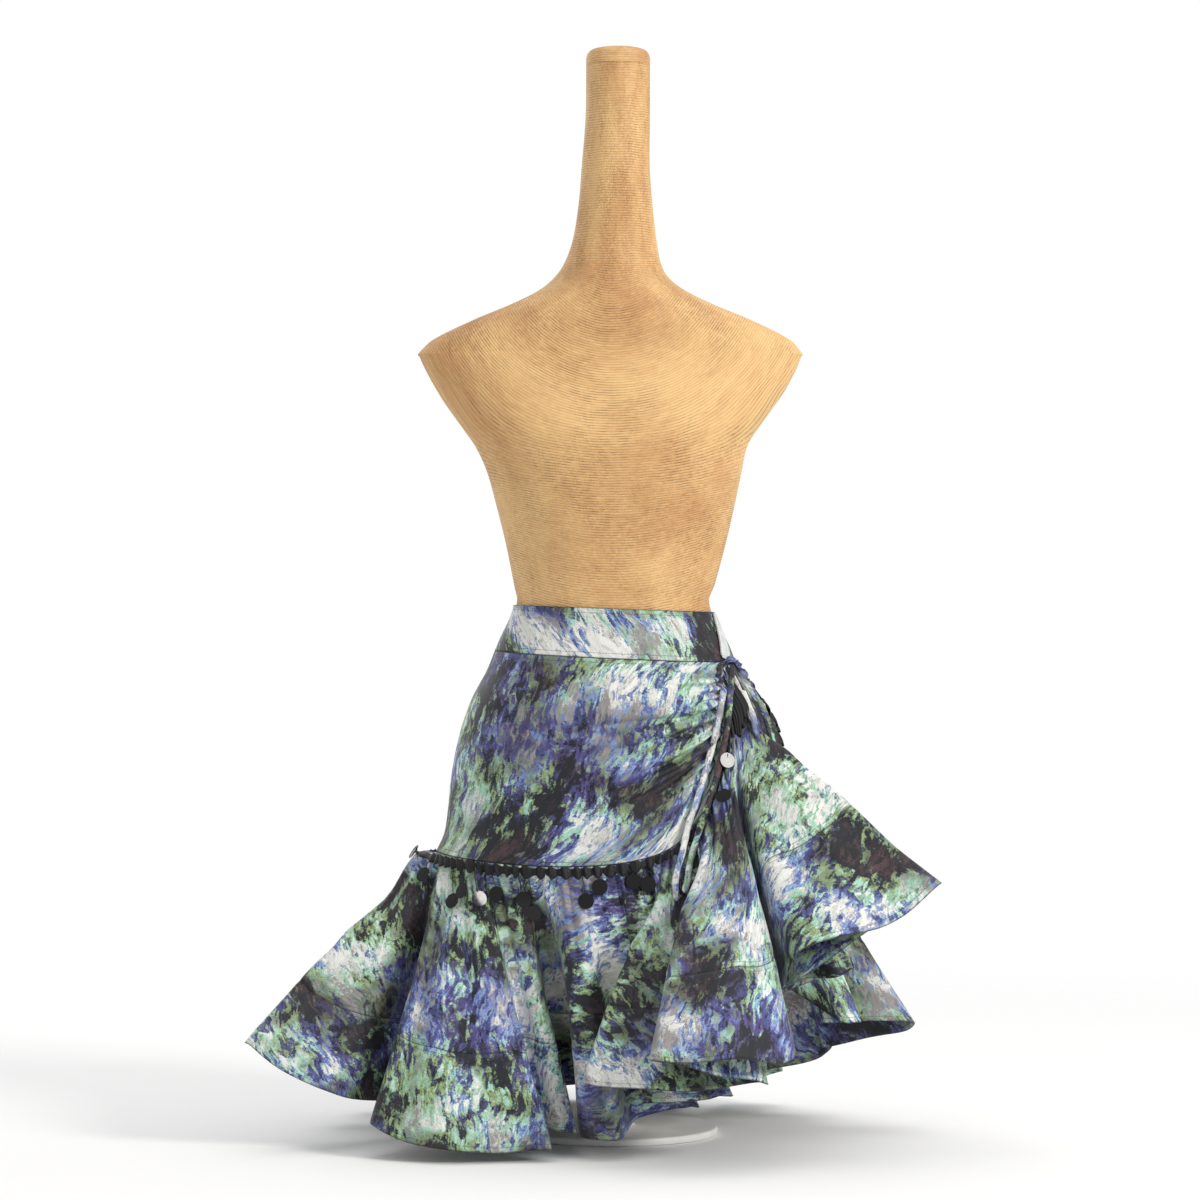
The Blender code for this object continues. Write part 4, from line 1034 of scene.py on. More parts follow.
def make_wound_cord():
    """Paper cord wound round the form.

    The wound map gives metres round the form and metres along the winding.
    Each turn is a half-round, with fibres along it and its own tone, and
    painted shade darkens the grooves between turns.
    """
    tree, shader = new_material("wound_cord")
    wound = uv_map(tree, "wound")
    sway = calc(tree, "MULTIPLY", calc(
        tree, "SUBTRACT", noise(tree, wound, 22.0, 4.0, 0.6), 0.5), 0.0034)
    parts = node(tree, "ShaderNodeSeparateXYZ", {0: wound})
    level = calc(tree, "ADD", parts.outputs["Y"], sway)
    turns = calc(tree, "DIVIDE", level, sizes().cord_pitch)
    within = calc(tree, "FRACT", turns)
    side = calc(tree, "MULTIPLY_ADD", within, 2.0, -1.0)
    round_top = calc(tree, "SQRT", calc(
        tree, "SUBTRACT", 1.0, calc(tree, "MULTIPLY", side, side), clamp=True))
    number = calc(tree, "FLOOR", turns)
    own = node(tree, "ShaderNodeCombineXYZ",
               {"X": calc(tree, "MULTIPLY", parts.outputs["X"], 55.0),
                "Y": calc(tree, "MULTIPLY", number, 1.7)}).outputs[0]
    shade = noise(tree, own, 1.0, 2.0, 0.6)
    fibre_place = node(tree, "ShaderNodeMapping",
                       {"Vector": wound, "Scale": (170.0, 1500.0, 1.0)})
    fibre = noise(tree, fibre_place.outputs[0], 1.0, 3.0, 0.7)
    broad = noise(tree, wound, 7.0, 4.0, 0.6)
    tone = calc(tree, "MULTIPLY_ADD", shade, 0.30, calc(
        tree, "MULTIPLY", broad, 0.95))
    tone = calc(tree, "MULTIPLY_ADD", fibre, 0.60, tone)
    body = blend(tree, remap(tree, tone, 0.74, 1.08), colours().cord_dark,
                 colours().cord)
    # The gap between two turns is open in places and closed in others: where it
    # is open, the painted shade is darker and the relief deeper
    open_here = remap(tree, noise(tree, own, 2.2, 2.0, 0.6), 0.40, 0.60)
    loose = remap(tree, noise(tree, wound, 16.0, 2.0), 0.42, 0.60, 0.30, 1.0)
    gap = calc(tree, "MULTIPLY", open_here, loose)
    depth = calc(tree, "MULTIPLY_ADD", gap, -0.74, 0.91)
    # Painted shade: each turn is darkened towards its edges, in the grooves
    # between turns
    groove = remap(tree, round_top, 0.25, 0.85, depth, 1.0)
    groove_shaded = node(tree, "ShaderNodeHueSaturation",
               {"Value": groove, "Color": body})
    set_inputs(tree, shader, {
        "Base Color": groove_shaded.outputs[0],
        "Roughness": remap(tree, fibre, 0.2, 0.8, 0.50, 0.68),
        "Specular IOR Level": 0.3})
    relief = calc(tree, "MULTIPLY", round_top, calc(
        tree, "MULTIPLY_ADD", gap, 0.6, 0.4))
    add_bump(tree, shader, calc(tree, "MULTIPLY_ADD", fibre, 0.3, relief),
             0.8, 0.0009)


def make_ribbon_satin():
    """Black satin with fine threads, crushed in patches that are painted
    lighter as sheen.
    """
    tree, shader = new_material("ribbon_satin")
    place = uv_map(tree, "cut")
    crushed_sheen = noise(tree, place, 260.0, 3.0, 0.6)
    # Painted sheen: the crushed patches are mixed towards grey, and their
    # roughness varies too
    tone = blend(tree, remap(tree, crushed_sheen, 0.35, 0.75, 0.0, 0.35),
                 colours().ribbon, linear(44, 44, 50))
    set_inputs(tree, shader, {
        "Base Color": tone,
        "Roughness": remap(tree, crushed_sheen, 0.3, 0.7, 0.34, 0.52),
        "Specular IOR Level": 0.32})
    weave = use_group(tree, "woven_threads",
                      {"Place": place, "Pitch": 0.0004, "Crinkle": 1.2})
    add_bump(tree, shader, weave["Height"], 0.4, 0.0003)


def make_paillette_gloss():
    """Glossy black plastic disc, faintly scuffed."""
    tree, shader = new_material("paillette_gloss")
    place = object_place(tree)
    scuff = noise(tree, place, 700.0, 4.0, 0.7)
    tone = blend(tree, remap(tree, scuff, 0.5, 0.8, 0.0, 0.4),
                 linear(6, 6, 9), linear(26, 27, 32))
    set_inputs(tree, shader, {
        "Base Color": tone,
        "Roughness": remap(tree, scuff, 0.3, 0.8, 0.06, 0.22),
        "Specular IOR Level": 0.36})


def make_plain_weave(name, colour, pitch, roughness):
    """A plain woven tape or thread of one colour."""
    tree, shader = new_material(name)
    place = object_place(tree)
    weave = use_group(tree, "woven_threads",
                      {"Place": place, "Pitch": pitch, "Crinkle": 1.0})
    worn = noise(tree, place, 90.0, 3.0, 0.6)
    dark = tuple(0.72 * part for part in colour[:3])
    tone = blend(tree, remap(tree, worn, 0.3, 0.7), dark, colour)
    set_inputs(tree, shader, {"Base Color": tone, "Roughness": roughness})
    add_bump(tree, shader, weave["Height"], 0.4, 0.0003)


def make_stand_paint():
    """Satin paint with a faint orange-peel relief."""
    tree, shader = new_material("satin_enamel")
    place = object_place(tree)
    peel = noise(tree, place, 420.0, 2.0, 0.5)
    dust = noise(tree, place, 24.0, 4.0, 0.6)
    dark = tuple(0.82 * part for part in colours().stand)
    tone = blend(tree, remap(tree, dust, 0.35, 0.7), dark, colours().stand)
    set_inputs(tree, shader, {
        "Base Color": tone,
        "Roughness": remap(tree, dust, 0.3, 0.7, 0.32, 0.46)})
    add_bump(tree, shader, peel, 0.2, 0.0002)


def finish_named(name):
    """A finish by name, which has been made before."""
    material = bpy.data.materials.get(name)
    if material is None:
        raise RuntimeError(f"The finish {name} isn't made yet")
    return material


def form_grid():
    """Form's surface: a squarish ellipse at each height of a smooth table.

    Returns the points and the wound map. The winding level is the height,
    bent into rings about the neck's foot over the chest and shoulders, and
    into wider rings over the waist.
    """
    upper = open_rows(FORM_SECTIONS, 8)
    heights = np.linspace(HIP_SECTIONS[0].height, FORM_BOTTOM
                          + FORM_BOTTOM_ROUND, 40)
    width, depth = hip_size(heights)
    flat = np.zeros_like(heights)
    lower = np.stack([heights, width - FORM_SLACK, depth - FORM_SLACK, flat,
                      flat + 2.0], axis=1)
    turn = np.radians(np.linspace(10, 90, 9))
    pulled = FORM_SLACK + FORM_BOTTOM_ROUND * (1 - np.cos(turn))
    height = FORM_BOTTOM + FORM_BOTTOM_ROUND * (1 - np.sin(turn))
    width, depth = hip_size(FORM_BOTTOM + FORM_BOTTOM_ROUND)
    bottom = np.stack([height, width - pulled, depth - pulled, 0 * turn,
                       0 * turn + 2.0], axis=1)
    # Both ends are drawn in, almost to a point
    drawn_in = (1, 0.02, 0.02, 1, 1)
    table = np.vstack([upper[:1] * drawn_in, upper, lower, bottom,
                       bottom[-1:] * drawn_in])
    angle = np.linspace(0, TAU, FORM_SIDES, endpoint=False)
    power = 2 / table[:, 4:5]
    across, deep = np.cos(angle), np.sin(angle)
    x = np.sign(across) * np.abs(across) ** power * table[:, 1:2]
    y = np.sign(deep) * np.abs(deep) ** power * table[:, 2:3]
    above = smooth_step(table[:, :1], 0.575, 0.595)
    points = np.stack([x + table[:, 3:4], y + HIP_CENTRE_Y * (1 - above),
                       np.broadcast_to(table[:, :1], x.shape)], axis=-1)
    round_once = closed_round(points)
    x, z = round_once[..., 0], round_once[..., 2]
    chest = smooth_step(z, 0.70, 0.82) * (1 - smooth_step(z, 0.915, 0.955))
    waist = 1 - smooth_step(z, 0.60, 0.72)
    level = z - 1.0 * x ** 2 * (1 - smooth_step(z, 0.93, 1.00))
    for share, middle in ((chest, CHEST_RINGS), (waist, WAIST_RINGS)):
        level = level + share * (middle - np.hypot(x, middle - z) - level)
    way = np.linspace(0, 1, round_once.shape[1]) * TAU * WINDING_RADIUS
    wound = np.stack([np.broadcast_to(way, level.shape), level], axis=-1)
    return points, wound


def turned_grid(profile, centre_x, start, sides):
    """Surface of a radius and height profile turned about an upright line."""
    rows = np.asarray(profile, float)
    angle = np.linspace(0, TAU, sides, endpoint=False)
    return np.stack([centre_x + rows[:, :1] * np.cos(angle),
                     rows[:, :1] * np.sin(angle),
                     np.broadcast_to(start + rows[:, 1:],
                                     (len(rows), sides))], axis=-1)


def panel_grid(side, rows, columns, first=0.0):
    """Hip panel's surface as a patch between its four edges.

    Side is -1 for the front and 1 for the back. Each row is a line from the
    far side seam to its place on the drawn-up edge. Its height is blended
    between the band and the flounce seam, and moved to the drawn-up edge's by
    the share across. First is where the columns start. The troughs are laid
    on it.
    """
    swing = np.linspace(SLIT_HALF_WIDTH, PANEL_CORNER, 400)
    edge_angle = LEFT_SIDE_SEAM + side * swing
    lift = np.clip((SLIT_FOOT - swing) / (SLIT_FOOT - SLIT_HALF_WIDTH), 0, 1)
    low_line = seam_height(edge_angle) + 2 * GAP
    edge_height = low_line + (band_bottom(edge_angle) - low_line) * lift ** 2
    along = np.hypot(np.diff(np.radians(swing)) * HIP_RADIUS,
                     np.diff(edge_height))
    along = np.concatenate([[0], np.cumsum(along)])
    far = np.linspace(0, 1, rows)
    share = np.interp(far, *PANEL_ROWS)
    end_angle = np.interp(share * along[-1], along, edge_angle)
    end_height = np.interp(share * along[-1], along, edge_height)
    u = 1 - (1 - np.linspace(0, 1, columns)) ** 1.35
    u = (first + (1 - first) * u)[None, :]
    start_angle = (RIGHT_SIDE_SEAM + RIGHT_SEAM_HALF_GAP if side < 0
                   else RIGHT_SIDE_SEAM + 360 - RIGHT_SEAM_HALF_GAP)
    w = far[:, None]
    angle = start_angle + u * (end_angle[:, None] - start_angle)
    straight = (1 - w) * end_height[0] + w * end_height[-1]
    height = ((1 - w) * band_bottom(angle[:1]) + w * seam_height(angle[-1:])
              + u * (end_height[:, None] - straight))
    edge_here = np.interp(-height, -edge_height, edge_angle)
    away = np.radians(np.maximum(side * (angle - edge_here), 0)) * HIP_RADIUS
    return on_hips(angle, height, drape_relief(side, away, height))


def drape_relief(side, away, height):
    """How far a panel stands out at a distance from its drawn-up edge.

    A soft swelling near the edge, with a trough of a bell-shaped section
    along each curved line of the table. Fine tucks fade near the edge.
    """
    scale = sizes().drape_scale
    slanted = height + 0.55 * away
    gathered = smooth_step(slanted, 0.385, 0.440) * (
        1 - smooth_step(height, 0.494, 0.514))
    swelling, troughs = ((FRONT_SWELLING, FRONT_TROUGHS) if side < 0
                         else (BACK_SWELLING, BACK_TROUGHS))
    out = swelling.height * gathered * bell(away, 0, swelling.reach) * (
        1 - swelling.dip * bell(away, 0, swelling.dip_reach))
    for number, row in enumerate(troughs):
        sway = 0.0012 * np.sin(away / 0.017 + 2.1 * number)
        line = row.start - row.slope * away + row.bend * away ** 2 + sway
        tilt = 1 / np.hypot(1, row.slope - 2 * row.bend * away)
        wide = 1.2 * row.width * (1 + away / 0.075)
        off = (height - line) * tilt / wide
        shallow = bell(away, 0, 1.15 * row.reach, 2.4)
        below = 0.30 * bell(off, 1.9, 1.2) * np.minimum(away / 0.025, 1)
        out = out - scale * row.depth * shallow * (bell(off, 0, 1) - below)
    tucks = uneven_wave(height + 0.35 * away, 0.0052, 1.0 + side)
    out = out + 0.0005 * gathered * tucks * bell(away, 0, 0.020)
    return np.maximum(out, -0.0004 + 0.06 * np.minimum(out, 0))


def fold_rows():
    """Rows of seam angle, hem place and flare, one for each turn of the hem.

    Also gives the seam angle of the valley after the last front fold, where
    the flounce is split.
    """
    folds = FRONT_FOLDS + BACK_FOLDS
    rows = []
    split_angle = 0.0
    for number, fold in enumerate(folds):
        after = folds[(number + 1) % len(folds)]
        next_from = after.seam_from + (360 if after is folds[0] else 0)
        middle = (np.array(fold.left) + fold.right) / 2
        outward = unit(middle * (1, 1, 0))
        middle = middle + fold.belly * outward - (0, 0, fold.dip)
        half_way = (fold.seam_from + fold.seam_to) / 2
        rows.append((fold.seam_from, *fold.left, fold.flare))
        rows.append((half_way, *middle, fold.flare))
        rows.append((fold.seam_to, *fold.right, fold.flare))
        valley = np.array(fold.valley)
        across = unit(np.array([-valley[1], valley[0], 0])) * fold.floor
        gap = next_from - fold.seam_to
        flare = (fold.flare + after.flare) / 2
        if fold.floor > 0:
            rows.append((fold.seam_to + 0.4 * gap, *(valley - across), flare))
            rows.append((fold.seam_to + 0.6 * gap, *(valley + across), flare))
        else:
            rows.append((fold.seam_to + 0.5 * gap, *valley, flare))
        if fold is FRONT_FOLDS[-1]:
            split_angle = rows[-1][0]
    return np.array(rows), split_angle


def open_hairpins(ring):
    """The rows between the first and the last, with sharp turns opened.

    A row where the hem turns back becomes two places, further apart the
    sharper the turn is.
    """
    opened = []
    for before, row, after in zip(ring, ring[1:], ring[2:]):
        back = unit(before[1:3] - row[1:3])
        on = unit(after[1:3] - row[1:3])
        sharp = max(back @ on, 0.0)
        apart = unit(on - back) * FOLD_ROUNDING * sharp
        step = np.array([FOLD_ROUNDING_SEAM * sharp, *apart, 0, 0])
        opened += [row - step, row + step] if sharp > 0 else [row]
    return np.array(opened)


def calm_places(curve):
    """Hem places averaged over the seam angles round each of them.

    The average is weighted by a bell, and worked out as a circular
    convolution of evenly spaced places.
    """
    even = np.arange(0, 360, CALM_STEP) + curve[0, 0]
    places = at_places(even, curve[:, 0], curve[:, 1:4])
    away = np.minimum(even - even[0], 360 - (even - even[0]))
    window = bell(away, 0, CALM_WIDTH)
    mixed = np.fft.ifft(np.fft.fft(places, axis=0)
                        * np.fft.fft(window / window.sum())[:, None], axis=0)
    return np.stack([np.interp(curve[:, 0], even, mixed[:, k].real,
                               period=360) for k in range(3)], axis=1)


def flounce_ring():
    """Seam angle, hem place, flare and calm place of every column.

    A row of the table for each turn of the hem is joined by a smooth curve,
    and the columns are spread by the length of hem and seam and by how much
    the hem turns. Also gives the column where the back begins.
    """
    rows, split_angle = fold_rows()
    turn = np.array([360, 0, 0, 0, 0])
    rows = open_hairpins(np.vstack([rows[-1] - turn, rows, rows[0] + turn]))
    # Angles and flares are scaled down, so that places decide the spacing
    scale = np.array([0.001, 1, 1, 1, 0.01])
    closed = np.vstack([rows[-2:] - turn, rows, rows[:1] + turn])
    curve = smooth_rows(closed * scale, 24) / scale
    curve = np.hstack([curve, calm_places(curve)])
    first = np.searchsorted(curve[:, 0], split_angle)
    front = spread_columns(curve[:first + 1], len(FRONT_FOLDS))
    back = spread_columns(curve[first:], len(BACK_FOLDS))
    return np.vstack([front[:-1], back[:-1]]), len(front) - 1


def spread_columns(curve, folds):
    """The curve at its columns, closer together where the hem turns."""
    step = np.diff(curve[:, 1:3], axis=0)
    heading = np.unwrap(np.arctan2(step[:, 1], step[:, 0]))
    turning = np.abs(np.diff(heading, prepend=heading[0]))
    seam = on_hips(curve[:, 0], seam_height(curve[:, 0]))
    weight = (np.linalg.norm(step, axis=1) + TURN_WEIGHT * turning
              + np.linalg.norm(np.diff(seam, axis=0), axis=1))
    place = np.concatenate([[0], np.cumsum(weight)])
    even = np.linspace(0, place[-1], COLUMNS_PER_FOLD * folds + 1)
    return at_places(even, place, curve)


def clear_of_hips(points):
    """Points moved out to the hips' wall where they would dip inside it."""
    half_width, half_depth = hip_size(points[..., 2])
    from_middle = points - (0, HIP_CENTRE_Y, 0)
    reach = np.hypot(from_middle[..., 0] / (half_width + HIP_CLEARANCE),
                     from_middle[..., 1] / (half_depth + HIP_CLEARANCE))
    beside = smooth_step(points[..., 2], FORM_BOTTOM - FORM_BOTTOM_ROUND,
                         FORM_BOTTOM)
    push = 1 + (np.maximum(1 / reach, 1) - 1) * beside
    points = from_middle * np.stack([push, push, np.ones_like(push)], -1)
    return points + (0, HIP_CENTRE_Y, 0)


def flounce_surface(shares):
    """Points, outward normals, ring table and split column of the flounce.

    A thread line runs from the seam to its hem place: it falls evenly, and
    its way outwards is the share to the power of the fold's flare. Near the
    seam it leans to the calm places, leaves a steep seam squarely, and folds
    are softened along each row by a bell-shaped blur. It never dips inside
    the hips.
    """
    ring, split = flounce_ring()
    angle = ring[:, 0]
    start = on_hips(angle, seam_height(angle) - GAP)
    share = np.asarray(shares)[:, None]
    folded = np.clip(share / FOLD_OPENING, 0, 1)[..., None]
    target = ring[None, :, 1:4] * folded + ring[None, :, 5:8] * (1 - folded)
    outwards = share ** ring[None, :, 4]
    flare = np.stack([outwards, outwards, np.broadcast_to(
        share, outwards.shape)], axis=-1)
    along = np.roll(start, -1, axis=0) - np.roll(start, 1, axis=0)
    away = unit(np.cross(along, on_hips(angle, seam_height(angle), 1.0)
                         - start))
    away = -away * np.sign(away[:, 2:]) * (1, 1, 0)
    leaving = LEAVING * share * (1 - share) ** LEAVING_FADE
    points = (start[None] + (target - start[None]) * flare
              + leaving[..., None] * away)
    spread = np.interp(shares, SOFT_SHARES, SOFT_SPREAD)
    turns = np.fft.fftfreq(points.shape[1])
    soften = np.exp(-2 * (np.pi * np.outer(spread, turns)) ** 2)
    points = np.fft.ifft(np.fft.fft(points, axis=1) * soften[..., None],
                         axis=1).real
    points = clear_of_hips(points)
    normal = surface_normals(points, ring=True)
    radial = unit(on_hips(angle, seam_height(angle), 1.0)
                  - on_hips(angle, seam_height(angle)))
    square = smooth_step(share, 0.0, 0.05)[..., None]
    normal = unit(normal * square + radial[None] * (1 - square))
    out = crease_relief(SWELLINGS, angle, share)
    return points + normal * out[..., None], normal, ring, split


def crease_relief(rows, angle, share):
    """How far a table of creases moves the flounce's points outwards."""
    out = 0.0 * share * angle[None, :]
    for row in rows:
        off = (angle[None, :] - row.angle - row.lean * share + 180) % 360 - 180
        run = np.clip((share - row.top) / (row.low - row.top), 0, 1)
        out = out + row.depth * bell(off, 0, row.spread) * np.sin(np.pi * run)
    return out


def creased_flounce(shares):
    """The flounce with its gathers, creases and hem curls laid on.

    Gathers are two uneven waves along the seam that fade on their way down.
    The hem curls in one long wave, and a groove marks the hem band's seam.
    """
    points, normal, ring, split = flounce_surface(shares)
    angle = ring[:, 0]
    share = np.asarray(shares)[:, None]
    seam = lengths(on_hips(angle, seam_height(angle)))[None, :]
    hem = lengths(points[-1])[None, :]
    size = sizes()
    gathers = (uneven_wave(seam, size.gather_length, 0.4)
               + 0.45 * uneven_wave(seam, size.gather_length * 0.55, 2.0))
    grown = 0.35 + 0.65 * smooth_step(share, 0.0, 0.07)
    faded = 1 - smooth_step(share, 0.05, GATHER_FADE)
    out = size.gather_depth * gathers * grown * faded
    out = out + crease_relief(CREASES, angle, share)
    curl = uneven_wave(hem, 0.105, 1.3) * smooth_step(share, 0.72, 1.0)
    out = out + 0.0028 * curl
    out = out - 0.0006 * bell(share, BAND_SHARE, 0.006)
    return points + normal * out[..., None], normal, ring, split


def flounce_maps(shares, hem):
    """Cut and sewn maps of the flounce, as a flat ring cut from the cloth.

    The ring's angle follows the length along the hem, and its radius the
    share of the flounce's length.
    """
    share = np.asarray(shares)[:, None]
    turn = hem / (CUT_RADIUS + CUT_RUN)
    radius = CUT_RADIUS + CUT_RUN * share
    cut = np.stack([radius * np.cos(turn), radius * np.sin(turn)], axis=-1)
    near = CUT_RUN * np.minimum(share - shares[0], shares[-1] - share)
    sewn = np.stack(np.broadcast_arrays(hem[None], near), axis=-1)
    return {"cut": cut, "sewn": sewn}


def two_cuts(split):
    """Name and columns of the front and of the back of a closed ring."""
    return (("front", slice(0, split + 1)), ("back", slice(split, None)))


def casing_base(row):
    """A casing's flat surface, the way down it and how it closes the slit.

    It starts a little higher than the panel, over the band's edge, reaches
    past the panel's edge and closes the slit at its top.
    """
    base = panel_grid(row.side, 260, 17, first=row.first)[3:-12]
    rise = np.linspace(1, 0, 9)[:-1, None, None] * row.rise
    upward = unit(base[:1] - base[8:9])
    base = np.vstack([base[:1] + upward * rise, base])
    past = unit(base[:, -1:] - base[:, -3:-2])
    ahead = np.linspace(0, 1, 6)[None, 1:, None]
    down = lengths(base[:, 8])[:, None]
    closing = bell(down, 0, row.closing)
    reach = CASING_REACH + CASING_CLOSING_REACH * closing
    beyond = base[:, -1:] + past * ahead * reach[..., None]
    return np.hstack([base, beyond]), down, closing


def casing_relief(row, down, closing, across):
    """How far a casing stands out: an arch with puffs and a stitched dent.

    The arch is half an ellipse across the casing, its puffs are uneven waves
    down it, and it flattens at both ends.
    """
    arch = np.sqrt(np.clip(1 - (2 * across - 1) ** 2, 0, 1))
    folds = uneven_wave(down + 0.0030 * (across - 0.5), 0.0104, row.side)
    small = uneven_wave(down - 0.003 * across, 0.0043, 2.0)
    puff = row.puff * (1 + 0.55 * folds + 0.14 * small)
    pinch = 1 - 0.22 * bell(across, 0.66, 0.09)
    out = 0.0009 + 0.0004 * across + arch * puff * pinch
    out = out + row.proud * across * closing
    ends = smooth_step(down, 0, 0.004) * smooth_step(down[-1] - down, 0, 0.006)
    return out * (0.35 + 0.65 * ends)


def ribbon_rows(shares, points, normal, angle):
    """Rows of points and normals down the ribbon, round the whole seam.

    The ribbon hangs lower where it's bunched in the slit, and hardly shows
    under the back casing.
    """
    bunched = bell(angle, *RIBBON_BUNCH_PLACE, power=4)
    hidden = bell(angle, *RIBBON_HIDDEN_PLACE, power=4)
    off = np.clip(angle - RIBBON_BUNCH_PLACE[0], -RIBBON_BUNCH_SLANT_REACH,
                  RIBBON_BUNCH_SLANT_REACH)
    low = RIBBON_REACH - RIBBON_HIDDEN * hidden + bunched * (
        RIBBON_BUNCH - RIBBON_BUNCH_SLOPE * off)
    rows = np.linspace(0.004, 1, RIBBON_ROWS)[:, None] * low
    pick = np.arange(angle.size)
    level = np.interp(rows, shares, np.arange(shares.size))
    under, part = level.astype(int), (level % 1)[..., None]

    def lower(grid):
        return grid[under, pick] * (1 - part) + grid[under + 1, pick] * part

    return lower(points), unit(lower(normal))


def ruched(base, out, places):
    """The ribbon's base with its ruffles, which run down it as uneven waves.

    It stands out in an arch, more in the bunch at the slit and less under
    the casings, and its edges swing up and down with the ruffles.
    """
    length = sizes().ruffle_length
    v = np.linspace(-1, 1, RIBBON_ROWS)[:, None]
    wave = uneven_wave(places, length, 0.9)[None, :]
    fine = uneven_wave(places, length * 0.37, 2.4)[None, :]
    body = np.sqrt(np.clip(1 - 0.82 * v ** 2, 0, 1))
    lift = (0.0024 + body * (0.0018 + 0.0019 * wave + 0.0006 * fine)
            + 0.0011 * np.abs(v) ** 3 * (0.6 + wave))
    turn = np.degrees(np.arctan2(base[:1, :, 1] - HIP_CENTRE_Y,
                                 base[:1, :, 0]))
    bulk = bell(turn, *RIBBON_BULK_PLACE, power=4) * (
        1 - smooth_step(base[..., 2], 0.470, 0.498))
    lift = lift + RIBBON_BULK * bulk
    covered = smooth_step(base[..., 2], 0.455, 0.498)
    lift = lift * (1 - 0.80 * covered)
    down = unit(base[-1] - base[0])[None]
    scallop = 0.0021 * v * wave * np.abs(v)
    return base + out * lift[..., None] + down * scallop[..., None]


def circle(turn, side, up):
    """Points of a unit circle spanned by two directions, at each turn."""
    return (np.cos(turn)[:, None] * side[..., None, :]
            + np.sin(turn)[:, None] * up[..., None, :])


def hung_disc(row, shares, points, normal, angle):
    """Points of one paillette, and the middle line of its thread.

    The disc lies just clear of the cloth round its place. Its face is the
    cloth's, or the bright one, turned by the row's tilt and rolled by its
    turn. Its section is a shallow dome.
    """
    radius = sizes().paillette_radius
    reach = np.array([0.02, 0.55, 0.97, 1.0, 0.97, 0.55, 0.02]) * radius
    dome = np.array([0.0007, 0.0006, 0.0004, 0.0, -0.0003, -0.0001, 0.0])
    column = int(np.argmin(np.abs((angle - row.angle + 180) % 360 - 180)))
    level = int(np.argmin(np.abs(shares - row.share)))
    top = (points[THREAD_ROW, column]
           + THREAD_TOP_OUT * normal[THREAD_ROW, column])
    near = (slice(max(level - 6, 0), level + 7),
            slice(max(column - 14, 0), column + 15))
    around = points[near].reshape(-1, 3)
    out = unit(normal[near].mean((0, 1)))
    proud = ((around - points[level, column]) @ out).max()
    middle = points[level, column] + (max(proud, 0) + 0.0012) * out
    swing = np.radians(row.tilt or 0)
    face = unit(np.array(BRIGHT_FACE)) if row.tilt is None else out
    side = unit(np.cross(face, (0.0, 0.0, 1.0)))
    up = np.cross(side, face)
    leaning = max(abs(np.sin(swing)), np.linalg.norm(face - out))
    face, side = (face * np.cos(swing) + side * np.sin(swing),
                  side * np.cos(swing) - face * np.sin(swing))
    roll = np.radians(row.turn)
    up, side = (up * np.cos(roll) + side * np.sin(roll),
                side * np.cos(roll) - up * np.sin(roll))
    middle = middle + out * radius * min(leaning, 0.8)
    turn = np.linspace(0, TAU, 28, endpoint=False)
    disc = (middle + reach[:, None, None] * circle(turn, side, up)
            + dome[:, None, None] * face)
    hole = middle + up * radius * 0.82 + face * 0.0007
    sag = (top + hole) / 2 + out * 0.0012
    return disc, open_rows([top, sag, hole], 6)


def thread_tube(line):
    """A thin round tube about a thread's middle line."""
    run = unit(np.gradient(line, axis=0))
    side = unit(np.cross(run, (0.3, 0.2, 0.9)))
    turn = np.linspace(0, TAU, 6, endpoint=False)
    return line[:, None] + THREAD_RADIUS * circle(turn, side,
                                                  np.cross(run, side))


def tie_tube(line, places):
    """A drawstring end's points: a flat, creased tube with rounded ends.

    Across the line it is an ellipse with one crease, whose radius is pinched
    unevenly along it and closes in a quarter circle at both ends.
    """
    run = unit(np.gradient(line, axis=0))
    side = unit(np.cross(run, (0.35, -1.0, 0.25)))
    front = np.cross(side, run)
    turn = np.linspace(0, TAU, TIE_SIDES, endpoint=False)
    ends = np.minimum(places, places[-1] - places) / TIE_RADIUS
    cap = np.sqrt(1 - (1 - np.clip(ends, 0.02, 1)) ** 2)
    pinch = 1 - 0.10 * (0.5 + 0.5 * uneven_wave(places, 0.021, 0.7))
    radius = (TIE_RADIUS * cap * pinch)[:, None, None]
    fold = 1 - 0.16 * bell(turn, 4.3, 0.35)
    wide = 1.28 * np.cos(turn) * fold
    thick = 0.80 * np.sin(turn) * fold
    tube = wide[None, :, None] * side[:, None]
    tube = tube + thick[None, :, None] * front[:, None]
    return line[:, None] + radius * tube


def add_camera(scene):
    """The photograph's camera, level and square to the front."""
    lens = bpy.data.cameras.new("camera")
    lens.sensor_width = SENSOR
    lens.lens = SENSOR * -CAMERA_PLACE[1] / VIEW_WIDTH
    lens.clip_end = 50
    camera = bpy.data.objects.new("camera", lens)
    camera.location = CAMERA_PLACE
    camera.rotation_euler = (np.pi / 2, 0, 0)
    scene.collection.objects.link(camera)
    scene.camera = camera


def add_floor():
    """A pale round floor that fades out into the white surroundings."""
    tree, shader = new_material("pale_floor")
    place = object_place(tree)
    pale = blend(tree, noise(tree, place, 2.0, 3.0, 0.5), (0.88, 0.88, 0.88),
                 (0.91, 0.91, 0.91))
    reach = node(tree, "ShaderNodeVectorMath", {0: place},
                 operation="LENGTH").outputs["Value"]
    there = remap(tree, reach, FLOOR_CLEAR_RADIUS, FLOOR_RADIUS - 0.1,
                  1.0, 0.0, soft=True)
    set_inputs(tree, shader, {"Base Color": pale, "Roughness": 0.9,
                              "Alpha": there})
    angle = np.linspace(0, TAU, 64, endpoint=False)
    rings = np.array([0.001, FLOOR_RADIUS])[:, None]
    points = np.stack([rings * np.cos(angle), rings * np.sin(angle),
                       np.full((2, 64), FLOOR_LEVEL)], axis=-1)
    floor = grid_object("floor", points, ring=True)
    floor.data.materials.append(finish_named("pale_floor"))


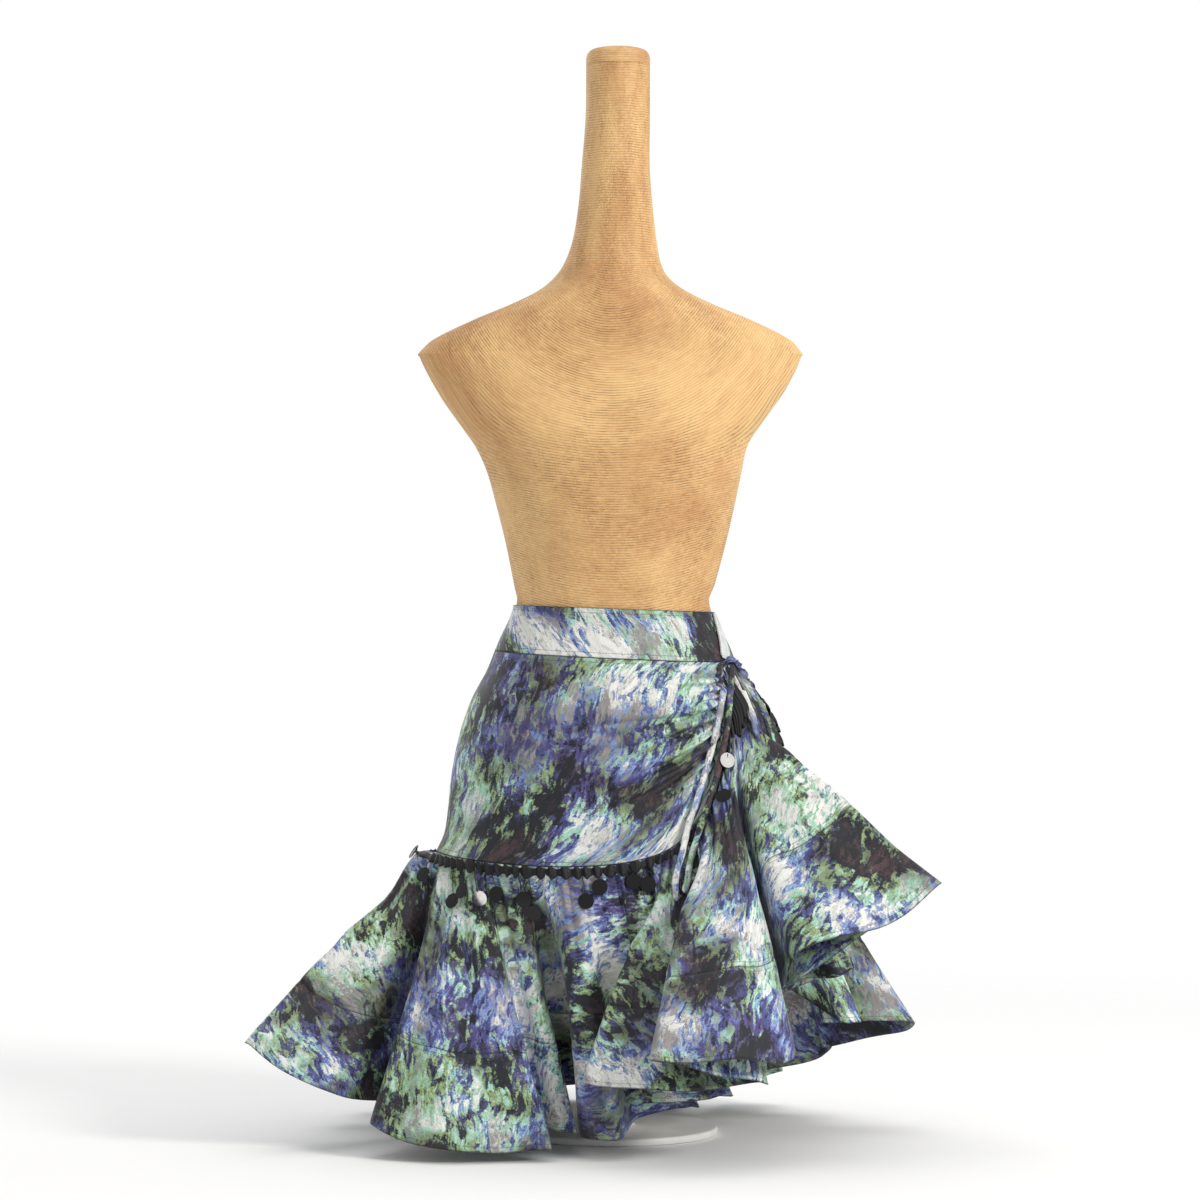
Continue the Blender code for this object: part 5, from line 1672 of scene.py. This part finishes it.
def add_lamps(scene):
    """Round soft lamps, turned to the middle of the object."""
    for row in LAMPS:
        lamp = bpy.data.lights.new(row.name, "AREA")
        lamp.shape = "DISK"
        lamp.size = row.size
        lamp.energy = row.power
        lamp.color = row.colour
        item = bpy.data.objects.new(row.name, lamp)
        item.location = row.place
        way = np.array(LAMPS_AIM) - row.place
        item.rotation_euler = (
            np.arctan2(np.hypot(way[0], way[1]), -way[2]), 0,
            np.arctan2(way[1], way[0]) - np.pi / 2)
        scene.collection.objects.link(item)


def add_surroundings(scene):
    """White surroundings, a little weaker as light than they look."""
    world = bpy.data.worlds.new("soft_white")
    world.use_nodes = True
    tree = world.node_tree
    seen = node(tree, "ShaderNodeLightPath").outputs["Is Camera Ray"]
    strength = remap(tree, seen, 0.0, 1.0, SURROUNDINGS_STRENGTH, 1.0)
    set_inputs(tree, tree.nodes["Background"],
               {"Color": (1, 1, 1, 1), "Strength": strength})
    scene.world = world


def close_ends(item):
    """Close the open ends of tubes with a face each, facing out."""
    shell = bmesh.new()
    shell.from_mesh(item.data)
    bmesh.ops.holes_fill(shell, edges=shell.edges, sides=0)
    bmesh.ops.recalc_face_normals(shell, faces=shell.faces)
    shell.to_mesh(item.data)
    shell.free()


def closed_piece(name, points, finish, slot, solid, maps=None):
    """A ring of points closed at both ends, which stands for a solid."""
    item = grid_object(name, points, maps, ring=True)
    close_ends(item)
    return dress(item, finish_named(finish), slot, solid)


def joined_tubes(name, grids, finish, slot):
    """One mesh from many closed tubes, each a grid of the same size."""
    count, rows, columns = grids.shape[:3]
    place = np.arange(rows * columns).reshape(rows, columns)
    quads = grid_quads(np.hstack([place, place[:, :1]]))
    quads = quads[None] + (np.arange(count) * rows * columns)[:, None, None]
    item = mesh_object(name, grids, quads.reshape(-1, 4))
    close_ends(item)
    item.data.set_sharp_from_angle(angle=0.9)
    dress(item, finish_named(finish), slot)


class SkirtOperator:
    """What every step of the making shares."""

    bl_options = {"REGISTER", "UNDO"}


class SKIRT_OT_stage(SkirtOperator, bpy.types.Operator):
    """Set up the pale floor, the soft light and the camera"""

    bl_idname = "skirt.stage"
    bl_label = "Stage"

    def execute(self, context):
        scene = context.scene
        add_camera(scene)
        add_floor()
        add_lamps(scene)
        add_surroundings(scene)
        scene.view_settings.view_transform = "Standard"
        return {"FINISHED"}


class SKIRT_OT_finishes(SkirtOperator, bpy.types.Operator):
    """Make the node groups and the finishes of all pieces"""

    bl_idname = "skirt.finishes"
    bl_label = "Finishes"

    def execute(self, context):
        make_weave_group()
        make_stitch_group()
        make_print_group()
        make_print_cloth()
        make_wound_cord()
        make_ribbon_satin()
        make_paillette_gloss()
        make_plain_weave("tape_weave", colours().tape, 0.0006, 0.7)
        make_plain_weave("black_thread", colours().ribbon, 0.0003, 0.6)
        make_plain_weave("zip_nylon", linear(232, 232, 228), 0.0005, 0.35)
        make_stand_paint()
        return {"FINISHED"}


class SKIRT_OT_ties(SkirtOperator, bpy.types.Operator):
    """Make the three drawstring ends that hang at the slit"""

    bl_idname = "skirt.ties"
    bl_label = "Drawstring ends"

    def execute(self, context):
        for name, route in TIE_ROUTES.items():
            line = open_rows(route, 12)
            along = lengths(line)
            places = np.linspace(0, along[-1], round(along[-1] / TIE_STEP) + 1)
            line = at_places(places, along, line)
            way = np.append(np.linspace(0, TAU, TIE_SIDES, endpoint=False),
                            TAU) * TIE_RADIUS
            cut = np.stack(np.broadcast_arrays(
                way[None], places[:, None]), axis=-1) + TIE_CUTS[name]
            # Nothing is sewn near, so the sewn map stays away from an edge
            maps = {"cut": cut, "sewn": np.full_like(cut, 1.0)}
            item = closed_piece(name + "_cloth", tie_tube(line, places),
                                "print_crepe", "print_cloth", name, maps)
        return {"FINISHED"}


class SKIRT_OT_form(SkirtOperator, bpy.types.Operator):
    """Make the cord-wound form and its neck cap"""

    bl_idname = "skirt.form"
    bl_label = "Dress form"

    def execute(self, context):
        points, wound = form_grid()
        closed_piece("wound_form", points, "wound_cord", "form_cord",
                     "form_torso", {"wound": wound})
        top = FORM_SECTIONS[0]
        profile = [Turned(0.0010, 0.0), *open_rows(CAP_PROFILE, 6),
                   Turned(0.0008, 0.0199)]
        points = turned_grid(profile, top.centre_x, top.height + GAP,
                             CAP_SIDES)[::-1]
        round_once = closed_round(points)
        way = np.linspace(0, 1, CAP_SIDES + 1) * TAU * CAP_RADIUS
        level = round_once[..., 2] + 0.8 * (CAP_RADIUS - np.hypot(
            round_once[..., 0] - top.centre_x, round_once[..., 1]))
        wound = np.stack(np.broadcast_arrays(way[None], level), axis=-1)
        closed_piece("wound_cap", points, "wound_cord", "form_cord",
                     "form_neck_cap", {"wound": wound})
        return {"FINISHED"}


class SKIRT_OT_stand(SkirtOperator, bpy.types.Operator):
    """Make the round steel base and the pole"""

    bl_idname = "skirt.stand"
    bl_label = "Stand"

    def execute(self, context):
        # The base's profile is turned round, so that its faces point outwards
        for name, profile, sides, solid in (
                ("round_base", BASE_PROFILE[::-1], 96, "stand_base"),
                ("steel_pole", POLE_PROFILE, 48, "stand_pole")):
            closed_piece(name, turned_grid(profile, 0.0, 0.0, sides),
                         "satin_enamel", "stand_paint", solid)
        return {"FINISHED"}


class SKIRT_OT_waistband(SkirtOperator, bpy.types.Operator):
    """Make the shaped band at the waist"""

    bl_idname = "skirt.waistband"
    bl_label = "Waistband"

    def execute(self, context):
        angle = np.linspace(-180, 180, 360, endpoint=False)[None, :]
        share = np.linspace(0, 1, 26)[:, None]
        height = (band_top(angle) * (1 - share)
                  + (band_bottom(angle) + GAP) * share)
        way = np.radians(angle) * WAIST_RADIUS
        out = 0.0005 * uneven_wave(way + 0.03 * share, 0.085, 0.5)
        out = out + 0.0004 * uneven_wave(way - 0.05 * share, 0.037, 2.2)
        out = out * np.sin(np.pi * share) + 0.0007 * bell(share, 0, 0.05)
        points = on_hips(angle, height, out)
        maps = flat_maps(closed_round(points), WAISTBAND_CUT)
        cloth_piece("waistband", points, maps, sizes().wall,
                    ring=True)
        return {"FINISHED"}


class SKIRT_OT_side_zip(SkirtOperator, bpy.types.Operator):
    """Make the zip tape on the band, and its teeth"""

    bl_idname = "skirt.side_zip"
    bl_label = "Side zip"

    def execute(self, context):
        down = np.linspace(0, 1, 70)
        middle = np.interp(down, (0, 1), (ZIP_TOP[0], ZIP_LOW[0]))
        height = np.interp(down, (0, 1), (ZIP_TOP[1], ZIP_LOW[1]))
        rounding = ((down - 0.84) / 0.16).clip(0, 0.995)
        taper = np.sqrt(1 - rounding ** 2).clip(0.12)
        across = ZIP_HALF_WIDTH * np.linspace(-1, 1, 25)
        angles = middle[:, None] + taper[:, None] * across
        heights = np.repeat(height[:, None], across.size, axis=1)
        # The tape is dented where it was sewn and bulges over the coil
        seam = bell(across / ZIP_HALF_WIDTH, 0.45, 0.08)
        coil = bell(across / ZIP_HALF_WIDTH, -0.70, 0.16)
        points = on_hips(angles, heights,
                         0.0019 - 0.0004 * seam + 0.0007 * coil)
        cloth_piece("side_zip", points, flat_maps(points), ZIP_WALL,
                    name="zip_tape_cloth",
                    finish=("tape_weave", "zip_tape"))

        count = sizes().zip_teeth
        place = np.linspace(0.015, 0.90, count)
        edge = np.interp(place, down, middle - taper * ZIP_HALF_WIDTH * 0.97)
        level = np.interp(place, down, height)
        # A tooth is a small rounded block: a ball squared up by a power
        turn = np.linspace(0, TAU, 12, endpoint=False)[None, :]
        tilt = np.linspace(-1, 1, 7)[:, None] * np.pi / 2 * 0.96

        def squared(value):
            return np.sign(value) * np.abs(value) ** 0.6

        wide = squared(np.cos(tilt)) * squared(np.cos(turn))
        tall = squared(np.cos(tilt)) * squared(np.sin(turn))
        proud = squared(np.sin(tilt)) + 0 * turn
        teeth = on_hips(edge[:, None, None] + 0.62 * wide,
                        level[:, None, None] + 0.00105 * tall,
                        0.0033 + 0.0009 * proud)
        joined_tubes("zip_teeth", teeth, "zip_nylon", "zip_tape")
        return {"FINISHED"}


class SKIRT_OT_hip_panels(SkirtOperator, bpy.types.Operator):
    """Make the two hip panels with their drapes"""

    bl_idname = "skirt.hip_panels"
    bl_label = "Hip panels"

    def execute(self, context):
        for row in PANELS:
            points = panel_grid(row.side, row.rows, PANEL_COLUMNS)
            cloth_piece(row.solid, points, flat_maps(points, row.cut),
                        sizes().wall,
                        flip=row.side > 0)
        return {"FINISHED"}


class SKIRT_OT_casings(SkirtOperator, bpy.types.Operator):
    """Make the two puffed drawstring casings beside the slit"""

    bl_idname = "skirt.casings"
    bl_label = "Casings"

    def execute(self, context):
        for row in CASINGS:
            base, down, closing = casing_base(row)
            across = np.linspace(0, 1, base.shape[1])[None, :]
            out = casing_relief(row, down, closing, across)
            normal = -row.side * surface_normals(base)
            points = base + normal * out[..., None]
            maps = flat_maps(points, row.cut, CASING_STRETCH)
            cloth_piece(row.solid, points, maps, CASING_WALL,
                        flip=row.side > 0)
        return {"FINISHED"}


class SKIRT_OT_flounce(SkirtOperator, bpy.types.Operator):
    """Make the two cuts of the flounce and their hem bands"""

    bl_idname = "skirt.flounce"
    bl_label = "Flounce"

    def execute(self, context):
        upper = BAND_SHARE * np.linspace(0, 1, 44) ** 1.25
        lower = BAND_SHARE + (1 - BAND_SHARE) * np.linspace(0, 1, 22)
        shares = np.concatenate([upper, lower[1:]])
        points, _, _, split = creased_flounce(shares)
        points = closed_round(points)
        hem = lengths(points[-1])
        for title, rows, above, held in (
                ("flounce", slice(0, upper.size), "hip_panel", "gathered"),
                ("hem_band", slice(upper.size - 1, None), "flounce", "hung")):
            for side, part in two_cuts(split):
                way = hem[part] + (0 if side == "front" else BACK_FLOUNCE_CUT)
                cloth_piece(f"{title}_{side}", points[rows, part],
                            flounce_maps(shares[rows], way), sizes().wall)
        return {"FINISHED"}


class SKIRT_OT_trim(SkirtOperator, bpy.types.Operator):
    """Make the ruched ribbon under the seam"""

    bl_idname = "skirt.trim"
    bl_label = "Ribbon"

    def execute(self, context):
        shares = np.linspace(0.004, 0.30, 80)
        points, normal, ring, split = flounce_surface(shares)
        points, normal = ribbon_rows(shares, points, normal, ring[:, 0])
        points, normal = closed_round(points), closed_round(normal)
        seam = lengths(points[0])
        for side, part in two_cuts(split):
            along = seam[part]
            places = np.linspace(along[0] + 0.001, along[-1] - 0.001,
                                 round((along[-1] - along[0])
                                       / RIBBON_STEP))
            base = np.stack([at_places(places, along, row[part])
                             for row in points])
            out = unit(np.stack([at_places(places, along, row[part])
                                 for row in normal]))
            grid = ruched(base, out, places)
            cloth_piece("trim_" + side, grid, flat_maps(grid), RIBBON_WALL,
                        name=f"ribbon_{side}",
                        finish=("ribbon_satin", "black_ribbon"))
        return {"FINISHED"}


class SKIRT_OT_paillettes(SkirtOperator, bpy.types.Operator):
    """Hang the black discs on their threads under the ribbon"""

    bl_idname = "skirt.paillettes"
    bl_label = "Paillettes"

    def execute(self, context):
        shares = np.linspace(0.0, 0.30, 61)
        points, normal, ring, _ = creased_flounce(shares)
        hung = [hung_disc(row, shares, points, normal, ring[:, 0])
                for row in PAILLETTES]
        joined_tubes("paillettes", np.stack([disc for disc, _ in hung]),
                     "paillette_gloss", "black_ribbon")
        joined_tubes("paillette_threads",
                     np.stack([thread_tube(line) for _, line in hung]),
                     "black_thread", "black_ribbon")
        return {"FINISHED"}


STEPS = (SKIRT_OT_stage, SKIRT_OT_finishes, SKIRT_OT_ties, SKIRT_OT_form,
         SKIRT_OT_stand, SKIRT_OT_waistband, SKIRT_OT_side_zip,
         SKIRT_OT_hip_panels, SKIRT_OT_casings, SKIRT_OT_flounce,
         SKIRT_OT_trim, SKIRT_OT_paillettes)


class SKIRT_PT_panel(bpy.types.Panel):
    """Sizes, colours and steps of the skirt"""

    bl_idname = "SKIRT_PT_panel"
    bl_label = "Latin dance skirt"
    bl_space_type = "VIEW_3D"
    bl_region_type = "UI"
    bl_category = "Skirt"

    def draw(self, context):
        for group in (context.scene.skirt_sizes, context.scene.skirt_colours):
            box = self.layout.box()
            for name in group.__annotations__:
                box.prop(group, name)
        column = self.layout.column()
        for step in STEPS:
            column.operator(step.bl_idname)


CLASSES = (SkirtSizes, SkirtColours, *STEPS, SKIRT_PT_panel)


def register():
    for item in CLASSES:
        bpy.utils.register_class(item)
    bpy.types.Scene.skirt_sizes = PointerProperty(type=SkirtSizes)
    bpy.types.Scene.skirt_colours = PointerProperty(type=SkirtColours)


def unregister():
    del bpy.types.Scene.skirt_colours
    del bpy.types.Scene.skirt_sizes
    for item in reversed(CLASSES):
        bpy.utils.unregister_class(item)


def main():
    """Register, and make every piece in order."""
    register()
    for step in STEPS:
        group, name = step.bl_idname.split(".")
        getattr(getattr(bpy.ops, group), name)()


if __name__ == "__main__":
    main()
